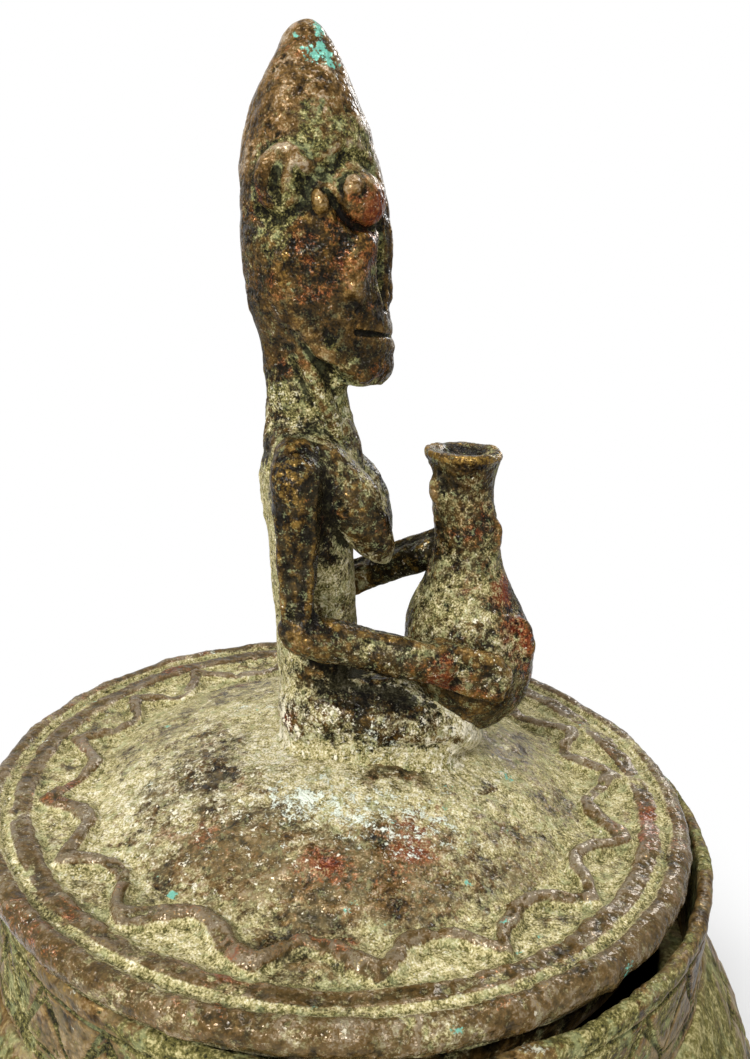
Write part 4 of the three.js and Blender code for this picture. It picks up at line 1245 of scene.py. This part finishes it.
def head_marks(points):
    height = points[:, 2]
    neck = slope(height, 79, -8)
    return marked(
        points,
        # Painted top light: the head is lighter above the brow; it is a little darker by the ears.
        fair=slope(height, 104, 8) * 0.27 + spots(points, both(-3, 12, 107, 5, -0.22)),
        crust=neck * 0.75 + spots(points, [
            (6, -12, 116, 8, 0.75), (15, -7, 114, 7, 0.6), (-4, -11, 104, 6, 0.5),
            (6, 12, 117, 8, 0.4), (-6, 10, 104, 7, 0.4), *both(6, 8, 76, 6, 0.6),
            (18, -5, 99, 3, 1.2), (18, -5, 94, 3, 1.2), (17, -5, 90, 2.5, 1.0), (17, 5, 96, 4, 1.0),
            (1, -12, 102, 5, 0.5), (-6, -11, 99, 5, 0.3), (10, -10, 98, 8, -0.2)]),
        verdigris=spots(points, [
            (9, -3, 135, 4.5, 0.75), (6, -6, 131, 3, 0.8), (11, -5, 129, 3, 0.6),
            (2, 5, 124, 4, 0.5), (-2, -10, 119, 1.5, 0.5), (-4, -9, 108, 1.5, 0.4)]),
        ruddy=blotches(points, 30, 5, 0.2, 51) + 0.08 + spots(points, [
            (15, -9, 105, 4, 1.1), (16, -6, 97, 4, 0.4), (14, 9, 106, 4, 0.5),
            (-6, -9, 106, 4, 0.4)]),
        gild=spots(points, [(11, -9, 107, 2.2, 0.5), (8, -11, 97, 7, 0.3), (0, -11, 93, 6, 0.3)]),
        speck=neck * 0.9 + spots(points, [(18, -5, 95, 4, 0.6)]),
        # Painted shade under the jaw and round the ear and eye; none at the crust beside the nose.
        soil=spots(points, [
            (18, -5, 98, 3, -0.9), (18, -5, 92, 3, -0.9), (1, -13, 105, 3, 0.5),
            (8, -12, 104, 3, 0.6), *both(5, 9, 75, 4, 0.6), (8, 12, 104, 3, 0.5)]),
        bloom=spots(points, [(2, -7, 66, 5, 0.4)]))


def body_marks(points):
    x, y, height = points.T
    out = np.abs(y)
    trunk = slope(out, 13, -3) * slope(height, 62, -8)
    base, hem, chest = slope(height, 14, -6), slope(height, 3, -3), slope(height, 60, 6)
    arm = slope(out, 12, 3) * slope(height, 26, 8) * (x < 12)
    fore = slope(y, -9, -3) * slope(height, 28, -4) * slope(height, 10, 4) * slope(x, 1, 4)
    far = slope(y, 3, 3) * slope(x, 10, 3) * slope(height, 20, 4)
    return marked(
        points,
        crust=(blotches(points, 30, 5, 0.3, 31) - blotches(points, 30, 5, 0.3, 32)
               + 0.6 * trunk + 0.4 * base + 0.5 * hem + 0.35 * chest - 0.2 * arm + 0.12 * fore
               - 0.9 * far
               + spots(points, [*both(14, 8, 48, 7, -0.5), (14, -16, 27, 6, 0.3),
                                (32, -14, 18, 7, -0.5), (-8, -13, 5, 4, -0.9)])),
        fair=-0.08 * arm - 0.06 * fore - 0.4 * far + spots(points, [(13, -8, 48, 8, -0.08)]),
        gild=spots(points, both(-1, 19, 58, 5, 0.25)),
        speck=base + trunk * 0.5 + chest * 0.6 + fore * 0.4,
        # Painted shadow under the forearms and between the arms and the body; none on the hem.
        soil=-0.6 * hem + spots(points, [
            (3, -12, 19, 5.5, 1.5), (11, -13, 16.5, 5.5, 1.6), (19, -14, 14, 5.5, 1.6),
            (28, -14, 11, 4.5, 0.9), (8, 15, 16, 6, 0.6), (18, 15, 16, 6, 0.6),
            (6, -12, 34, 4, 0.3), *both(6, 13, 50, 4, 0.4)]),
        ruddy=blotches(points, 24, 4, 0.45, 33) + spots(points, [
            (-8, -13, 5, 4, 1.2), (24, -15, 19, 5, 1.3), (33, -14, 15, 5, 0.6),
            (14, -7, 46, 5, 0.4), (10, 12, 6, 6, 0.6)]),
        bloom=base * 0.2 + spots(points, [(12, -16, 4, 6, 0.35), (2, -16, 60, 3, 0.4)]))


def flask_marks(points):
    return marked(
        points,
        ruddy=blotches(points, 16, 4, 0.45, 41) + spots(points, [
            (41, -8, 24, 6, 0.5), (35, -6, 46, 6, 0.6), (31, -9, 34, 3, 0.7),
            (30, 10, 18, 8, 0.5)]),
        gild=slope(points[:, 2], 56, 4) * 0.15,
        speck=spots(points, [(34, -11, 26, 10, 0.7)]),
        crust=(blotches(points, 16, 4, 0.35, 42) - blotches(points, 16, 4, 0.35, 43)
               + spots(points, [
                   (24, -8, 30, 9, 0.35), (28, -6, 40, 8, 0.1), (39, -8, 16, 9, -0.4)])))


def both_sides(*names):
    return [f"{side}_{name}" for side in ("right", "left") for name in names]


class BRONZE_OT_figure(bpy.types.Operator):
    """Make the seated figure's head, its body and the flask in its hands"""

    bl_idname = "bronze.figure"
    bl_label = "Make figure"

    def execute(self, context):
        sizes, shades = context.scene.bronze_figure, context.scene.bronze_patina
        head = patina(
            "head_patina", shades, crust=-0.44, speck=0.4, gold=0.35, red=0.7, mint=0.5, gloss=0.85,
            pale=-0.26, film=0.06, shade=-0.14, soil=0.9, leaf=0.14)
        self.cast(sizes, "head_casting", head_wax(sizes), head_marks, head, 0.19,
                  (0.9, 0.5, 0.15, 0.25), "figure_head", "figure_neck", "nose_ridge",
                  *both_sides("eye_disc", "eye_pellet", "ear"))
        body = patina(
            "body_patina", shades, crust=-0.16, speck=0.95, gold=0.35, red=0.8, mint=0.6, gloss=0.8,
            film=0.12, shade=-0.2, pale=-0.02, soft=0.06, leaf=0.5)
        self.cast(sizes, "body_casting", body_wax(sizes), body_marks, body, 0.37,
                  (0.9, 0.6, 0.2, 0.3), "figure_torso", "figure_seat",
                  *both_sides("leg", "arm", "breast"))
        flask = patina(
            "flask_patina", shades, crust=-0.14, speck=0.9, red=0.9, mint=0.5, gloss=0.85,
            film=0.12, shade=-0.16, pale=-0.04, soft=0.12, leaf=0.5)
        self.cast(sizes, "flask_casting", flask_wax(sizes), flask_marks, flask, 0.53,
                  (0.9, 0.6, 0.2, 0.3), "flask")
        return {"FINISHED"}

    def stand(self, sizes, points):
        """Leans upright points back and sets them on the dome."""
        x, y, height = points.T
        return np.stack([
            mm(LID_X) - mm(sizes.setback) + x - sizes.lean * height,
            mm(LID_Y) + y, mm(DOME_TOP) + height], 1)

    def cast(self, sizes, name, wax, marks, material, seed, skin, *nodes):
        """Turns wax into a weathered piece. Skin holds heights of lumps, knobs, grain and pits."""
        points, faces = wax.skin()
        piece = mesh_piece(name, self.stand(sizes, points), faces, marks(points))
        weather(piece, material, *skin, seed, crest_steps=5, form_steps=34)
        finish_piece(piece, "lid", "dark_bronze", *nodes)


# Stage


def pale_floor():
    """A matt floor that keeps the object's shadow and fades to white away from it."""
    material = bpy.data.materials.new("pale_floor")
    tree = fresh_tree(material)
    shadow_reach, white_from = 0.18, 0.36
    x, y, _ = tree.split(tree.out(tree.add("ShaderNodeTexCoord"), "Object"))
    away = tree.math("SQRT", x * x + y * y)
    matt = tree.add("ShaderNodeBsdfPrincipled", inputs={
        "Base Color": (0.86, 0.86, 0.86, 1.0), "Roughness": 0.9, "Specular IOR Level": 0.1})
    white = tree.add("ShaderNodeEmission", inputs={"Color": (1.0, 1.0, 1.0, 1.0), "Strength": 1.0})
    seen = tree.out(tree.add("ShaderNodeLightPath"), "Is Camera Ray")
    both_shaders = tree.add("ShaderNodeMixShader", inputs={
        0: away.fade(shadow_reach, white_from) * seen, 1: tree.out(matt), 2: tree.out(white)})
    tree.add("ShaderNodeOutputMaterial", inputs={"Surface": tree.out(both_shaders)})
    return material


def studio_world(level):
    """A dim white light that the camera and shiny surfaces see as white."""
    world = bpy.data.worlds.new("studio")
    tree = fresh_tree(world)
    path = tree.add("ShaderNodeLightPath")
    seen = tree.math("MAXIMUM", tree.out(path, "Is Camera Ray"), tree.math(
        "MAXIMUM", tree.out(path, "Is Glossy Ray"), tree.out(path, "Is Transmission Ray")))
    light = tree.add("ShaderNodeBackground", inputs={
        "Color": (1.0, 1.0, 1.0, 1.0), "Strength": seen * (1.0 - level) + level})
    tree.add("ShaderNodeOutputWorld", inputs={"Surface": tree.out(light)})
    return world


WORLD_LEVEL = 0.16

# Name, place and size in metres, and power in watts
LAMPS = (
    ("key", (-0.35, -0.75, 0.85), 0.22, 9.8),
    ("left", (-0.95, -0.3, 0.62), 0.14, 2.6),
    ("front", (0.12, -0.8, 0.5), 0.2, 2.2),
    ("top", (0.1, 0.1, 1.25), 0.4, 4.5),
    ("back", (0.5, 0.8, 0.7), 0.4, 4.5),
)


class BRONZE_OT_stage(bpy.types.Operator):
    """Add the floor, the studio light and the camera"""

    bl_idname = "bronze.stage"
    bl_label = "Set stage"

    def execute(self, context):
        scene = context.scene
        bpy.ops.mesh.primitive_plane_add(size=8.0, location=(0, 0, 0))
        floor = context.object
        floor.name = "floor"
        floor.data.materials.append(pale_floor())
        scene.world = studio_world(WORLD_LEVEL)
        for lamp in LAMPS:
            self.lamp(*lamp)
        self.camera(scene)
        scene.view_settings.view_transform = "Standard"
        return {"FINISHED"}

    def lamp(self, name, place, size, power):
        data = bpy.data.lights.new(name, "AREA")
        data.shape, data.size, data.energy = "DISK", size, power
        lamp = bpy.data.objects.new(name, data)
        lamp.location = place
        aim = Vector((0, 0, 0.2)) - Vector(place)
        lamp.rotation_euler = aim.to_track_quat("-Z", "Y").to_euler()
        bpy.context.scene.collection.objects.link(lamp)

    def camera(self, scene):
        """The photograph's place and tilt."""
        data = bpy.data.cameras.new("camera")
        data.sensor_width, data.lens = 36.0, 32.125
        data.clip_start, data.clip_end = 0.005, 20.0
        data.dof.use_dof = False
        pitch, roll = 0.28056, math.radians(3)
        ahead = Vector((0, math.cos(pitch), -math.sin(pitch)))
        upright = Vector((0, math.sin(pitch), math.cos(pitch)))
        right = math.cos(roll) * Vector((1, 0, 0)) + math.sin(roll) * upright
        top = math.cos(roll) * upright - math.sin(roll) * Vector((1, 0, 0))
        camera = bpy.data.objects.new("camera", data)
        turn = Matrix((right, top, -ahead)).transposed()
        from_rim = Vector((4.808, -186.013, 108.882)) * MM
        place = Vector((LID_X, LID_Y, RIM_LEVEL)) + from_rim
        camera.matrix_world = Matrix.Translation(place) @ turn.to_4x4()
        scene.collection.objects.link(camera)
        scene.camera = camera


class BRONZE_PT_panel(bpy.types.Panel):
    """Settings and steps of the bronze vessel"""

    bl_idname = "BRONZE_PT_panel"
    bl_label = "Bronze lidded vessel"
    bl_space_type = "VIEW_3D"
    bl_region_type = "UI"
    bl_category = "Bronze"

    def draw(self, context):
        for step in STEPS:
            self.layout.operator(step.bl_idname)
        for key, group in GROUPS.items():
            box = self.layout.box()
            for name in group.__annotations__:
                box.prop(getattr(context.scene, key), name)


STEPS = (BRONZE_OT_vessel, BRONZE_OT_lid, BRONZE_OT_figure, BRONZE_OT_stage)


def register():
    for cls in (*GROUPS.values(), *STEPS, BRONZE_PT_panel):
        bpy.utils.register_class(cls)
    for key, group in GROUPS.items():
        setattr(bpy.types.Scene, key, PointerProperty(type=group))


def unregister():
    for key in GROUPS:
        delattr(bpy.types.Scene, key)
    for cls in (BRONZE_PT_panel, *reversed(STEPS), *reversed(list(GROUPS.values()))):
        bpy.utils.unregister_class(cls)


def main():
    register()
    bpy.ops.bronze.vessel()
    bpy.ops.bronze.lid()
    bpy.ops.bronze.figure()
    bpy.ops.bronze.stage()


if __name__ == "__main__":
    main()
